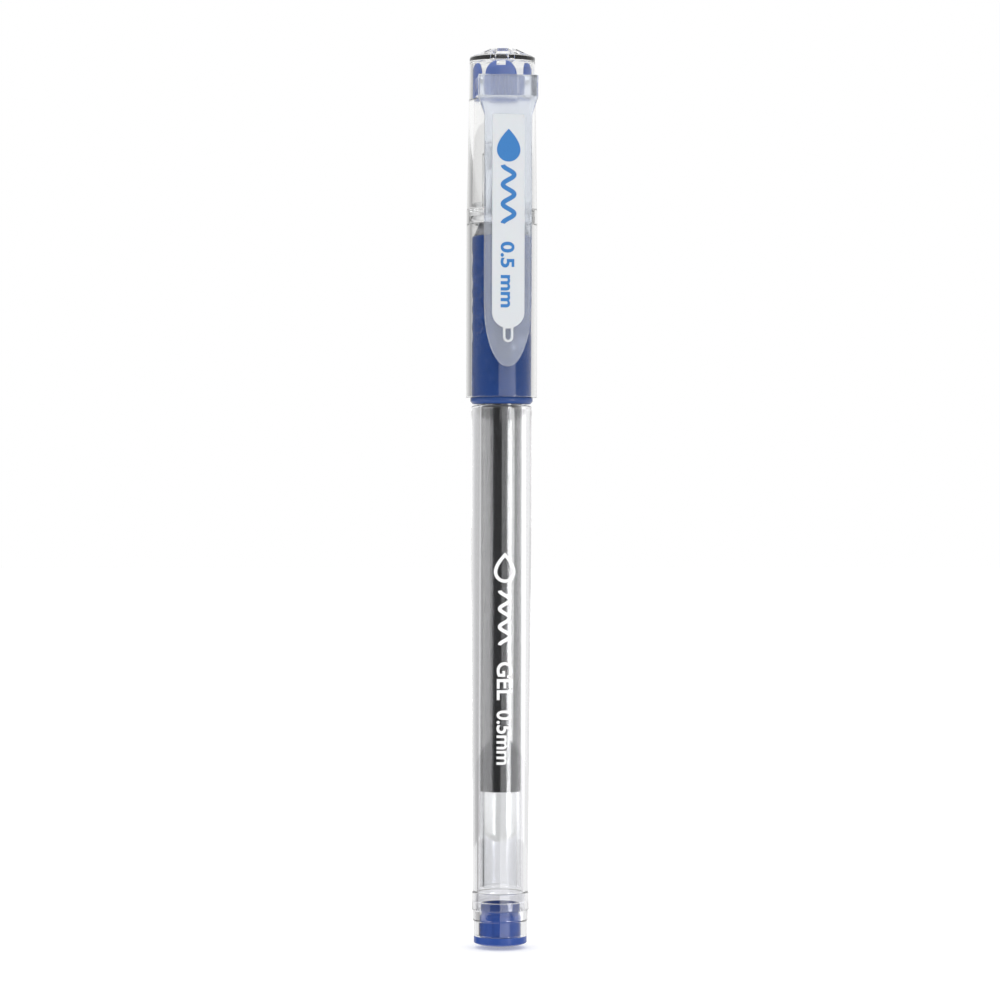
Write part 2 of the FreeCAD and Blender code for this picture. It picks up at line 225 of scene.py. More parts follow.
def arc_points(centre: Point, radius: float, start: float, end: float, steps: int) -> list[Point]:
    """Points on an arc of a circle.

    Args:
        centre: the arc's centre.
        radius: the arc's radius.
        start: first angle in degrees.
        end: last angle in degrees.
        steps: number of segments.

    Returns:
        The points from start to end.
    """
    points = []
    for step in range(steps + 1):
        angle = math.radians(start + (end - start) * step / steps)
        points.append((centre[0] + radius * math.cos(angle), centre[1] + radius * math.sin(angle)))
    return points


# ---- modelling


def deselect() -> None:
    """Leave no object selected."""
    bpy.ops.object.select_all(action="DESELECT")


def pick(piece: Piece) -> Piece:
    """Make one object the only selected and active one."""
    deselect()
    piece.select_set(True)
    bpy.context.view_layer.objects.active = piece
    return piece


def begin(name: str, add: Callable[..., object], **settings: object) -> Piece:
    """Add a primitive, name it and open it for editing.

    Args:
        name: name of the new object.
        add: the primitive's operator.
        settings: the operator's own settings.

    Returns:
        The new object, in edit mode with everything selected.
    """
    deselect()
    add(**settings)
    piece = bpy.context.active_object
    piece.name = name
    piece.data.name = name
    bpy.ops.object.mode_set(mode="EDIT")
    bpy.ops.mesh.select_mode(type="VERT")
    bpy.ops.mesh.select_all(action="SELECT")
    return piece


def settle(piece: Piece) -> Piece:
    """Move a piece's place, turn and scale into its mesh."""
    pick(piece)
    bpy.ops.object.transform_apply(location=True, rotation=True, scale=True)
    return piece


def finish_edit(piece: Piece) -> Piece:
    """Close the edit: merge doubles, turn the faces outwards and leave edit mode with the place in the mesh."""
    bpy.ops.mesh.select_all(action="SELECT")
    bpy.ops.mesh.remove_doubles(threshold=MERGE_DISTANCE)
    bpy.ops.mesh.normals_make_consistent(inside=False)
    bpy.ops.object.mode_set(mode="OBJECT")
    return settle(piece)


def draw_line(name: str, points: Sequence[Vector], closed: bool) -> Piece:
    """Draw a chain of edges by extruding one vertex from point to point.

    Args:
        name: name of the new object.
        points: the chain's points in millimetres.
        closed: whether the chain returns to its first point.

    Returns:
        The chain, in edit mode with everything selected.
    """
    piece = begin(name, bpy.ops.mesh.primitive_plane_add, size=MM)
    bpy.ops.mesh.merge(type="CENTER")
    bpy.ops.transform.translate(value=points[0] * MM)
    chain = list(points) + ([points[0]] if closed else [])
    for here, there in zip(chain, chain[1:]):
        bpy.ops.mesh.extrude_vertices_move(TRANSFORM_OT_translate={"value": (there - here) * MM})
    bpy.ops.mesh.select_all(action="SELECT")
    bpy.ops.mesh.remove_doubles(threshold=MERGE_DISTANCE)
    return piece


def turned(name: str, outline: Sequence[Point], steps: int = ROUND_STEPS) -> Piece:
    """Spin an outline about the pen's axis into a closed round piece.

    Args:
        name: name of the new object.
        outline: (radius, height) points; it is closed unless it starts and ends on the axis.
        steps: faces round the piece.

    Returns:
        The finished round piece.
    """
    closed = outline[0][0] > 1e-6 or outline[-1][0] > 1e-6
    piece = draw_line(name, [Vector((radius, 0, height)) for radius, height in outline], closed)
    bpy.ops.mesh.spin(steps=steps, angle=math.tau, center=(0, 0, 0), axis=Axis.Z.value)
    return finish_edit(piece)


def slab(name: str, outline: Sequence[Point], front: float, back: float) -> Piece:
    """Fill an outline drawn in the XZ plane and give it its thickness along Y.

    Args:
        name: name of the new object.
        outline: (x, z) points of the closed outline.
        front: Y of the front face.
        back: Y of the back face.

    Returns:
        The finished slab.
    """
    piece = draw_line(name, [Vector((x, front, z)) for x, z in outline], True)
    bpy.ops.mesh.edge_face_add()
    bpy.ops.mesh.extrude_region_move(TRANSFORM_OT_translate={"value": (0, (back - front) * MM, 0)})
    return finish_edit(piece)


def block(name: str, centre: Sequence[float], size: Sequence[float], turn: float = 0.0) -> Piece:
    """Make a block, turned about the pen's axis after it is placed.

    Args:
        name: name of the new object.
        centre: middle of the block before the turn.
        size: its three sides.
        turn: angle about Z in degrees, anticlockwise from above.

    Returns:
        The block.
    """
    piece = begin(name, bpy.ops.mesh.primitive_cube_add, size=MM)
    bpy.ops.transform.resize(value=size, center_override=(0, 0, 0))
    bpy.ops.transform.translate(value=Vector(centre) * MM)
    finish_edit(piece)
    piece.rotation_euler.z = math.radians(turn)
    return settle(piece)


def cylinder(name: str, radius: float, depth: float, centre: Sequence[float], steps: int = ROUND_STEPS,
             along: Axis = Axis.Z) -> Piece:
    """Make a closed cylinder along the pen or across it.

    Args:
        name: name of the new object.
        radius: its radius.
        depth: its length.
        centre: its middle.
        steps: faces round it.
        along: Z for along the pen, X for across it.

    Returns:
        The cylinder.
    """
    turn = (0, math.pi / 2, 0) if along is Axis.X else (0, 0, 0)
    return finish_edit(begin(
        name, bpy.ops.mesh.primitive_cylinder_add, radius=radius * MM, depth=depth * MM, vertices=steps,
        rotation=turn, location=tuple(place * MM for place in centre)))


def apply_modifier(piece: Piece, kind: str, **settings: object) -> Piece:
    """Add one modifier, set it up and apply it.

    Args:
        piece: object to change.
        kind: the modifier's type.
        settings: the modifier's own settings.

    Returns:
        The same object.
    """
    pick(piece)
    modifier = piece.modifiers.new(kind.lower(), kind)
    for name, value in settings.items():
        setattr(modifier, name, value)
    bpy.ops.object.modifier_apply(modifier=modifier.name)
    return piece


def combine(piece: Piece, tool: Piece, how: Cut) -> Piece:
    """Apply a boolean and delete its tool.

    Args:
        piece: object that stays.
        tool: object that is used up.
        how: what the boolean does.

    Returns:
        The changed object.
    """
    apply_modifier(piece, "BOOLEAN", operation=how.value, solver="EXACT", object=tool)
    bpy.data.objects.remove(tool)
    return piece


def joined(pieces: Sequence[Piece]) -> Piece:
    """Join several meshes into the first one."""
    deselect()
    for piece in pieces:
        piece.select_set(True)
    bpy.context.view_layer.objects.active = pieces[0]
    if len(pieces) > 1:
        bpy.ops.object.join()
    return pieces[0]


def soften(piece: Piece, width: float, segments: int = 3, angle: float = 30.0) -> Piece:
    """Round the sharp edges of a piece.

    Args:
        piece: object to change.
        width: width of the rounding in millimetres.
        segments: faces across the rounding.
        angle: smallest angle in degrees that counts as an edge.

    Returns:
        The same object.
    """
    return apply_modifier(
        piece, "BEVEL", width=width * MM, segments=segments, limit_method="ANGLE",
        angle_limit=math.radians(angle), miter_outer="MITER_ARC", use_clamp_overlap=True)


def smooth(piece: Piece, angle: float = 35.0, weighted: bool = False) -> Piece:
    """Shade a piece smooth across all but its sharp edges.

    Args:
        piece: object to shade.
        angle: smallest angle in degrees that stays sharp.
        weighted: whether large flat faces keep their own normal.

    Returns:
        The same object.
    """
    pick(piece)
    bpy.ops.object.shade_smooth_by_angle(angle=math.radians(angle))
    if weighted:
        apply_modifier(piece, "WEIGHTED_NORMAL", keep_sharp=True, weight=100)
    return piece


# ---- materials


Value = Union["Signal", float]


class Signal:
    """One output socket that Python arithmetic can use; every operation adds its Math node."""

    def __init__(self, tree: "ShaderTree", socket: bpy.types.NodeSocket) -> None:
        """Keep the tree and the socket."""
        self.tree = tree
        self.socket = socket

    def _math(self, operation: str, first: Value, second: Value = 0.0) -> "Signal":
        """Add a Math node on two values."""
        return self.tree.node("ShaderNodeMath", {"operation": operation}, {0: first, 1: second})

    def __add__(self, other: Value) -> "Signal":
        """Sum."""
        return self._math("ADD", self, other)

    __radd__ = __add__

    def __sub__(self, other: Value) -> "Signal":
        """Difference."""
        return self._math("SUBTRACT", self, other)

    def __rsub__(self, other: Value) -> "Signal":
        """Difference from a number."""
        return self._math("SUBTRACT", other, self)

    def __mul__(self, other: Value) -> "Signal":
        """Product."""
        return self._math("MULTIPLY", self, other)

    __rmul__ = __mul__

    def __truediv__(self, other: Value) -> "Signal":
        """Quotient."""
        return self._math("DIVIDE", self, other)

    def over(self, limit: Value) -> "Signal":
        """1 where this value is above the limit, else 0."""
        return self._math("GREATER_THAN", self, limit)

    def clamped(self) -> "Signal":
        """This value held between 0 and 1."""
        return self.tree.node("ShaderNodeClamp", {}, {"Value": self})


class ShaderTree:
    """Node tree of one material or world."""

    def __init__(self, owner: Union[bpy.types.Material, bpy.types.World]) -> None:
        """Empty the owner's tree and keep it."""
        owner.use_nodes = True
        self.tree = owner.node_tree
        self.tree.nodes.clear()

    def node(self, kind: str, settings: Optional[dict] = None, inputs: Optional[dict] = None,
             output: Union[int, str] = 0) -> Signal:
        """Add any node.

        Args:
            kind: the node's type.
            settings: attributes set first; "stops" fills a colour ramp with (place, colour) pairs.
            inputs: value or link of each socket, by name or index.
            output: which output the result stands for.

        Returns:
            The chosen output.
        """
        made = self.tree.nodes.new(kind)
        for name, value in (settings or {}).items():
            if name == "stops":
                ramp = made.color_ramp
                while len(ramp.elements) < len(value):
                    ramp.elements.new(0.5)
                for element, (place, colour) in zip(ramp.elements, value):
                    element.position = place
                    element.color = (*colour, 1.0)
            else:
                setattr(made, name, value)
        for name, value in (inputs or {}).items():
            if isinstance(value, Signal):
                self.tree.links.new(value.socket, made.inputs[name])
            else:
                made.inputs[name].default_value = value
        return Signal(self, made.outputs[output]) if made.outputs else Signal(self, None)

    def place(self) -> Signal:
        """Object coordinates, which are the pen's own frame in metres."""
        return self.node("ShaderNodeTexCoord", output="Object")

    def scaled(self, factors: Sequence[float]) -> Signal:
        """Object coordinates multiplied by three factors."""
        return self.node("ShaderNodeMapping", {}, {"Vector": self.place(), "Scale": factors})

    def noise(self, factors: Sequence[float], detail: float = 3.0) -> Signal:
        """Noise on scaled object coordinates, about 0 to 1."""
        return self.node("ShaderNodeTexNoise", {}, {
            "Vector": self.scaled(factors), "Scale": 1.0, "Detail": detail, "Roughness": 0.55})

    def blend(self, share: Value, first: Colour, second: Colour) -> Signal:
        """Mix of two colours."""
        return self.node("ShaderNodeMix", {"data_type": "RGBA"}, {
            0: share, 6: (*first, 1.0), 7: (*second, 1.0)}, output=2)

    def bump(self, height: Signal, strength: float, distance: float) -> Signal:
        """Normal bent by a height.

        Args:
            height: the height, about 0 to 1.
            strength: share of the effect.
            distance: depth in metres.

        Returns:
            The bent normal.
        """
        return self.node("ShaderNodeBump", {}, {"Height": height, "Strength": strength, "Distance": distance})

    def surface(self, inputs: dict) -> None:
        """Finish the material with one Principled node.

        Args:
            inputs: values and links of its sockets by name.
        """
        shader = self.node("ShaderNodeBsdfPrincipled", {}, inputs)
        self.node("ShaderNodeOutputMaterial", {}, {"Surface": shader})


@dataclass(frozen=True)
class Finish:
    """A finish that can be made into a material; its colour drifts between two close shades."""

    name: str
    first: Colour
    second: Colour

    def wire(self, tree: ShaderTree) -> None:
        """Fill the material's tree."""
        raise NotImplementedError

    def material(self) -> bpy.types.Material:
        """Return the finish's material, made once."""
        found = bpy.data.materials.get(self.name)
        if found is None:
            found = bpy.data.materials.new(self.name)
            self.wire(ShaderTree(found))
        return found


@dataclass(frozen=True)
class ClearPlastic(Finish):
    """Moulded clear plastic with faint flow waves and fine handling scratches."""

    FLOW = (260.0, 260.0, 55.0)
    HAIR = (2600.0, 2600.0, 120.0)
    ior: float = 1.49
    roughness: float = 0.012
    scratch: float = 0.03
    wave: float = 1.0e-6
    haze: float = 1.0

    def wire(self, tree: ShaderTree) -> None:
        """Fill the tree with one clear Principled node."""
        flow = tree.noise(self.FLOW, 2.0)
        hair = tree.noise(self.HAIR, 4.0)
        marks = ((hair - 0.62).clamped() * 4.0).clamped()
        tree.surface({
            "Base Color": tree.blend(flow, self.first, self.second),
            "Roughness": self.roughness + self.scratch * marks,
            "IOR": self.ior,
            "Transmission Weight": self.haze,
            "Normal": tree.bump(flow, 1.0, self.wave),
        })


@dataclass(frozen=True)
class SolidPlastic(Finish):
    """Opaque moulded plastic: slight drift of colour and shine, and a fine texture."""

    CLOUD = (300.0, 300.0, 200.0)
    FINE = (9000.0, 9000.0, 9000.0)
    SCATTER_DEPTH = 0.0006
    roughness: float = 0.22
    drift: float = 0.08
    grain: float = 2.0e-6
    subsurface: float = 0.0
    gloss: float = 0.5

    def wire(self, tree: ShaderTree) -> None:
        """Fill the tree with an opaque Principled node."""
        cloud = tree.noise(self.CLOUD, 3.0)
        fine = tree.noise(self.FINE, 2.0)
        tree.surface({
            "Base Color": tree.blend(cloud, self.first, self.second),
            "Roughness": self.roughness + self.drift * (cloud - 0.5) + 0.04 * fine,
            "Specular IOR Level": self.gloss,
            "Subsurface Weight": self.subsurface,
            "Subsurface Scale": self.SCATTER_DEPTH,
            "Normal": tree.bump(fine, 0.6, self.grain),
        })


@dataclass(frozen=True)
class Rubber(Finish):
    """Soft grip rubber: satin, with a fine pore texture and a little dust sheen."""

    PORES = (6500.0, 6500.0, 6500.0)
    CLOUD = (420.0, 420.0, 160.0)
    SHEEN = 0.02
    roughness: float = 0.34
    pore: float = 4.0e-6
    gloss: float = 0.15

    def wire(self, tree: ShaderTree) -> None:
        """Fill the tree with a satin Principled node."""
        pores = tree.noise(self.PORES, 3.0)
        cloud = tree.noise(self.CLOUD, 3.0)
        tree.surface({
            "Base Color": tree.blend(cloud, self.first, self.second),
            "Roughness": self.roughness + 0.10 * (cloud - 0.5) + 0.05 * pores,
            "Specular IOR Level": self.gloss,
            "Sheen Weight": self.SHEEN,
            "Sheen Roughness": 0.5,
            "Normal": tree.bump(pores, 0.7, self.pore),
        })


@dataclass(frozen=True)
class Ink(Finish):
    """Dense gel behind a clear wall, with slow swirls."""

    SWIRLS = (420.0, 420.0, 70.0)
    roughness: float = 0.12

    def wire(self, tree: ShaderTree) -> None:
        """Fill the tree with a dark glossy Principled node."""
        slow = tree.noise(self.SWIRLS, 4.0)
        tree.surface({
            "Base Color": tree.blend(slow, self.first, self.second),
            "Roughness": self.roughness + 0.06 * (slow - 0.5),
            "Normal": tree.bump(slow, 0.5, 3.0e-6),
        })


@dataclass(frozen=True)
class TurnedMetal(Finish):
    """Metal turned on a lathe: fine rings along the pen and slight staining."""

    STAINS = (1500.0, 1500.0, 1500.0)
    roughness: float = 0.2
    rings: float = 24000.0
    depth: float = 1.0e-6

    def wire(self, tree: ShaderTree) -> None:
        """Fill the tree with a metallic Principled node."""
        ring = tree.noise((600.0, 600.0, self.rings), 2.0)
        cloud = tree.noise(self.STAINS, 3.0)
        tree.surface({
            "Base Color": tree.blend(cloud, self.first, self.second),
            "Metallic": 1.0,
            "Roughness": self.roughness + 0.12 * ring,
            "Normal": tree.bump(ring, 0.8, self.depth),
        })


@dataclass(frozen=True)
class Frosted(Finish):
    """Half clear plastic with a fine spark-eroded frost."""

    CLOUD = (220.0, 220.0, 60.0)
    GRIT = (12000.0, 12000.0, 12000.0)
    clear: float = 0.75
    roughness: float = 0.4
    ior: float = 1.46
    frost: float = 3.0e-6

    def wire(self, tree: ShaderTree) -> None:
        """Fill the tree with a rough half-clear Principled node."""
        cloud = tree.noise(self.CLOUD, 3.0)
        grit = tree.noise(self.GRIT, 2.0)
        tree.surface({
            "Base Color": tree.blend(cloud, self.first, self.second),
            "Roughness": self.roughness + 0.08 * grit,
            "IOR": self.ior,
            "Transmission Weight": self.clear,
            "Normal": tree.bump(grit, 0.5, self.frost),
        })


@dataclass(frozen=True)
class PrintInk(Finish):
    """Pad-printed ink: slightly uneven cover and a satin skin."""

    COVER = (3800.0, 3800.0, 3800.0)
    roughness: float = 0.4

    def wire(self, tree: ShaderTree) -> None:
        """Fill the tree with an opaque Principled node."""
        cover = tree.noise(self.COVER, 3.0)
        tree.surface({
            "Base Color": tree.blend(cover, self.first, self.second),
            "Roughness": self.roughness + 0.15 * (cover - 0.5),
            "Normal": tree.bump(cover, 0.5, 2.0e-6),
        })


class Look:
    """The finishes of this pen, by the piece they dress."""

    barrel = ClearPlastic("clear_barrel_plastic", (0.975, 0.975, 0.985), (0.955, 0.957, 0.972))
    cap = ClearPlastic("clear_cap_plastic", (0.975, 0.975, 0.972), (0.95, 0.952, 0.95))
    inner_cap = ClearPlastic("clear_inner_cap_plastic", (0.95, 0.955, 0.96), (0.90, 0.91, 0.92),
                             roughness=0.05)
    refill = ClearPlastic("refill_tube_plastic", (0.95, 0.955, 0.96), (0.92, 0.925, 0.94),
                          roughness=0.06, scratch=0.06)
    grease = ClearPlastic("follower_grease", (0.97, 0.97, 0.95), (0.93, 0.93, 0.9), ior=1.03,
                          roughness=0.02, scratch=0.0)
    nose = ClearPlastic("smoke_nose_plastic", (0.42, 0.43, 0.47), (0.34, 0.35, 0.39), roughness=0.08,
                        haze=0.75)
    blue = SolidPlastic("blue_moulded_plastic", (0.02, 0.066, 0.31), (0.026, 0.078, 0.34), roughness=0.2,
                        gloss=0.35)
    collar = SolidPlastic("blue_collar_plastic", (0.016, 0.055, 0.215), (0.021, 0.065, 0.24), roughness=0.2,
                          gloss=0.35)
    insert = SolidPlastic("blue_insert_plastic", (0.06, 0.13, 0.44), (0.07, 0.15, 0.48), roughness=0.25,
                          gloss=0.3)
    rubber = Rubber("blue_grip_rubber", (0.006, 0.046, 0.215), (0.01, 0.054, 0.24), roughness=0.24)
    ink = Ink("black_gel_ink", (0.006, 0.007, 0.008), (0.012, 0.013, 0.016))
    holder = SolidPlastic("natural_holder_plastic", (0.62, 0.63, 0.62), (0.7, 0.7, 0.69), roughness=0.35,
                          subsurface=0.2)
    seal = Rubber("grey_seal_rubber", (0.30, 0.31, 0.33), (0.36, 0.37, 0.39), roughness=0.6)
    nib = TurnedMetal("turned_nickel_silver", (0.72, 0.70, 0.66), (0.64, 0.61, 0.55))
    ball = TurnedMetal("polished_ball_metal", (0.82, 0.82, 0.84), (0.76, 0.76, 0.79), roughness=0.05,
                       rings=1500.0, depth=2.0e-7)
    clip = Frosted("frosted_clip_plastic", (0.82, 0.855, 0.915), (0.79, 0.83, 0.90), clear=0.84, roughness=0.13,
                   frost=1.5e-6)
    plate = SolidPlastic("white_plate_plastic", (0.645, 0.67, 0.695), (0.675, 0.70, 0.725), roughness=0.28,
                         subsurface=0.1)
    blue_print = PrintInk("blue_print_ink", (0.02, 0.165, 0.46), (0.03, 0.20, 0.52))
    white_print = PrintInk("white_print_ink", (0.97, 0.97, 0.97), (0.93, 0.93, 0.94))


def dress(piece: Piece, finish: Finish) -> Piece:
    """Give a piece its finish in every slot.

    Args:
        piece: object to dress.
        finish: its finish.

    Returns:
        The same object.
    """
    material = finish.material()
    if not piece.material_slots:
        piece.data.materials.append(material)
    for slot in piece.material_slots:
        slot.material = material
    return piece


@dataclass
class SubAssembly:
    """Shared handling of the pen's sub-assemblies."""

    def hand_over(self, piece: Piece, body: str, slot: str, finish: Finish,
                  replaces: Iterable[str] = ()) -> Piece:
        """Dress a finished piece, tie it to its body and hide the CAD nodes that it stands for.

        Args:
            piece: the finished piece.
            body: body that it rides on.
            slot: the record's material slot; not used.
            finish: its finish.
            replaces: CAD nodes that it stands for.

        Returns:
            The same object.
        """
        dress(piece, finish)
        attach(piece, body)
        nodes = tuple(replaces)
        if nodes:
            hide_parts(*nodes)
        LOG.info("%-20s %6d faces on %s", piece.name, len(piece.data.polygons), body)
        return piece


# ---- barrel


@dataclass
class Barrel(SubAssembly):
    """Clear barrel, its tail sleeve, the blue end plug and the blue stop collar."""

    bore_front: float = 3.53
    bore_rear: float = 3.78
    neck: float = 4.1
    rear: float = 4.57
    taper_top: float = 70.0
    sleeve_bore: float = 3.45
    sleeve_socket: float = 4.15
    ring_rise: float = 0.12
    ring_step: float = 0.1
    ring_heights: tuple[float, float, float] = (4.5, 6.3, 7.7)
    gate: float = 0.8
    pinhole: float = 0.3
    cup_floor: float = 3.0
    dome: float = 0.85
    rim: float = 3.28
    cup_wall: float = 0.6
    groove: float = 5.9
    groove_depth: float = 0.3
    collar_lift: float = 0.25
    collar_chamfer: tuple[float, float] = (0.4, 0.45)

    def __post_init__(self) -> None:
        """Read the boxes of the nodes that this sub-assembly stands for."""
        self.tube_box = NodeBox.of("barrel_tube")
        self.sleeve_box = NodeBox.of("tail_sleeve")
        self.plug_box = NodeBox.of("end_plug")
        self.collar_box = NodeBox.of("grip_collar")

    def tube(self) -> Piece:
        """Thick clear tube with its neck and rear spigot."""
        box = self.tube_box
        shoulder = self.collar_box.bottom
        joint = self.sleeve_box.top
        outline = rounded([
            (self.bore_rear, box.bottom, 0.08),
            (self.sleeve_socket - SLIP, box.bottom, 0.1),
            (self.sleeve_socket - SLIP, joint, 0.05),
            (self.rear, joint, 0.07),
            (box.radius, self.taper_top, 0.0),
            (box.radius, shoulder, 0.5),
            (self.neck, shoulder, 0.06),
            (self.neck, box.top, 0.08),
            (self.bore_front, box.top, 0.08),
        ])
        return turned("barrel_body", outline)

    def sleeve(self) -> Piece:
        """Clear tail sleeve with three fine ring steps."""
        box = self.sleeve_box
        end = self.plug_box.radius
        low, middle, high = self.ring_heights
        rise, step = self.ring_rise, self.ring_step
        socket_floor = self.tube_box.bottom - SLIP
        outline = rounded([
            (self.sleeve_bore, box.bottom, 0.04),
            (end, box.bottom, 0.06),
            (end, low, 0.02),
            (end + rise, low + step, 0.03),
            (box.radius - 0.1, middle, 0.02),
            (box.radius - 0.1 + rise, middle + step, 0.03),
            (box.radius - SLIP, high, 0.02),
            (box.radius, high + step, 0.03),
            (box.radius, box.top, 0.08),
            (self.sleeve_socket, box.top, 0.05),
            (self.sleeve_socket, socket_floor, 0.08),
            (self.sleeve_bore, socket_floor, 0.05),
        ], steps=3)
        return turned("tail_sleeve_body", outline)

    def plug(self) -> Piece:
        """Blue plug: domed flange with a gate disc and vent, and a grooved cup open towards the nib."""
        flange = self.plug_box.radius
        body = self.sleeve_bore - SLIP
        seat = self.sleeve_box.bottom
        sphere = (flange ** 2 + self.dome ** 2) / (2 * self.dome)
        rim_angle = math.degrees(math.asin(flange / sphere))
        skirt = arc_points((0.0, sphere), sphere, 270 + math.degrees(math.asin(self.gate * 1.15 / sphere)),
                           270 + rim_angle - 1.5, 9)
        corners: list[Corner] = [(0.0, 0.0, 0.0), (self.gate, 0.0, 0.02)]
        corners += [(radius, height, 0.0) for radius, height in skirt]
        corners += [
            (flange, self.dome + 0.05, 0.12),
            (flange, seat, 0.07),
            (body, seat, 0.05),
            (body, self.groove - 0.5, 0.12),
            (body - self.groove_depth, self.groove - 0.1, 0.05),
            (body - self.groove_depth, self.groove + 0.1, 0.05),
            (self.rim, self.groove + 0.4, 0.1),
            (self.rim, self.plug_box.top, 0.14),
            (self.rim - self.cup_wall, self.plug_box.top, 0.14),
            (self.rim - self.cup_wall, self.cup_floor, 0.3),
            (0.0, self.cup_floor, 0.0),
        ]
        piece = turned("end_plug_body", rounded(corners, closed=False))
        vent = cylinder("vent_tool", self.pinhole, 8, (self.gate * 1.75, 0, 0), 24)
        return combine(piece, vent, Cut.AWAY)

    def collar(self) -> Piece:
        """Blue stop ring, chamfered in towards the barrel."""
        box = self.collar_box
        bore = self.neck + SLIP
        foot = box.bottom + self.collar_lift
        inwards, upwards = self.collar_chamfer
        outline = rounded([
            (bore, foot, 0.04),
            (box.radius - inwards, foot, 0.08),
            (box.radius, foot + upwards, 0.12),
            (box.radius, box.top, 0.12),
            (bore, box.top, 0.05),
        ])
        return turned("stop_collar", outline)

    def build(self) -> None:
        """Build and dress the barrel's pieces."""
        self.hand_over(smooth(self.tube()), "pen_body", "clear_barrel", Look.barrel, ["barrel_tube"])
        self.hand_over(smooth(self.sleeve()), "pen_body", "clear_barrel", Look.barrel, ["tail_sleeve"])
        self.hand_over(smooth(self.plug()), "pen_body", "blue_plastic", Look.blue, ["end_plug"])
        self.hand_over(smooth(self.collar()), "pen_body", "blue_plastic", Look.collar, ["grip_collar"])


# ---- grip


@dataclass
class Grip(SubAssembly):
    """Rubber grip with staggered dimples on three finger sides."""

    neck: float = 4.1
    rows: tuple[float, ...] = (101.9, 104.8, 107.7, 110.6, 114.7)
    depth: float = 0.5
    reach: float = 1.45
    column_angle: float = 34.0
    sides: int = 3
    outer: float = 4.97
    row_step: float = 0.3
    plain_ends: float = 1.6
    fade: float = 1.4

    def dimples(self) -> list[Vector]:
        """Middles of all dimples on the sleeve's surface."""
        found = []
        for side in range(self.sides):
            for column in (-1, 0, 1):
                angle = math.radians(180 + side * 360 / self.sides + column * self.column_angle)
                heights = self.rows
                if column:
                    heights = [(low + high) / 2 for low, high in zip(self.rows, self.rows[1:])]
                found += [Vector((self.outer * math.cos(angle), self.outer * math.sin(angle), z)) for z in heights]
        return found

    def sleeve(self) -> Piece:
        """Sleeve with a rounded front shoulder, its dimples pressed in by a weighted displacement."""
        box = NodeBox.of("grip_sleeve")
        inner = self.neck + SLIP
        rows = int((box.length - self.plain_ends) / self.row_step)
        wall: list[Point] = [(self.outer, box.bottom + self.row_step * (row + 1)) for row in range(rows)]
        start = rounded([(inner, box.bottom, 0.0), (self.outer, box.bottom, 0.12), (self.outer, box.bottom + 3, 0.0)],
                        closed=False)[:-3]
        shoulder = rounded([(self.outer, box.top - 2.5, 0.0), (self.outer, box.top, 0.6),
                            (inner, box.top, 0.0)], closed=False, steps=8)[2:]
        piece = turned("grip_rubber", start + wall + shoulder)
        group = piece.vertex_groups.new(name="dimples")
        centres = self.dimples()
        for vertex in piece.data.vertices:
            place = vertex.co / MM
            if math.hypot(place.x, place.y) < self.outer - 0.3:
                continue
            near = min((place - centre).length for centre in centres)
            if near < self.reach:
                group.add([vertex.index], (1 - (near / self.reach) ** 2) ** self.fade, "REPLACE")
        apply_modifier(piece, "DISPLACE", vertex_group="dimples", strength=-self.depth * MM, mid_level=0.0,
                       direction="NORMAL")
        piece.vertex_groups.clear()
        return piece

    def build(self) -> None:
        """Build and dress the grip."""
        self.hand_over(smooth(self.sleeve(), 50.0), "pen_body", "blue_rubber", Look.rubber, ["grip_sleeve"])


# ---- refill


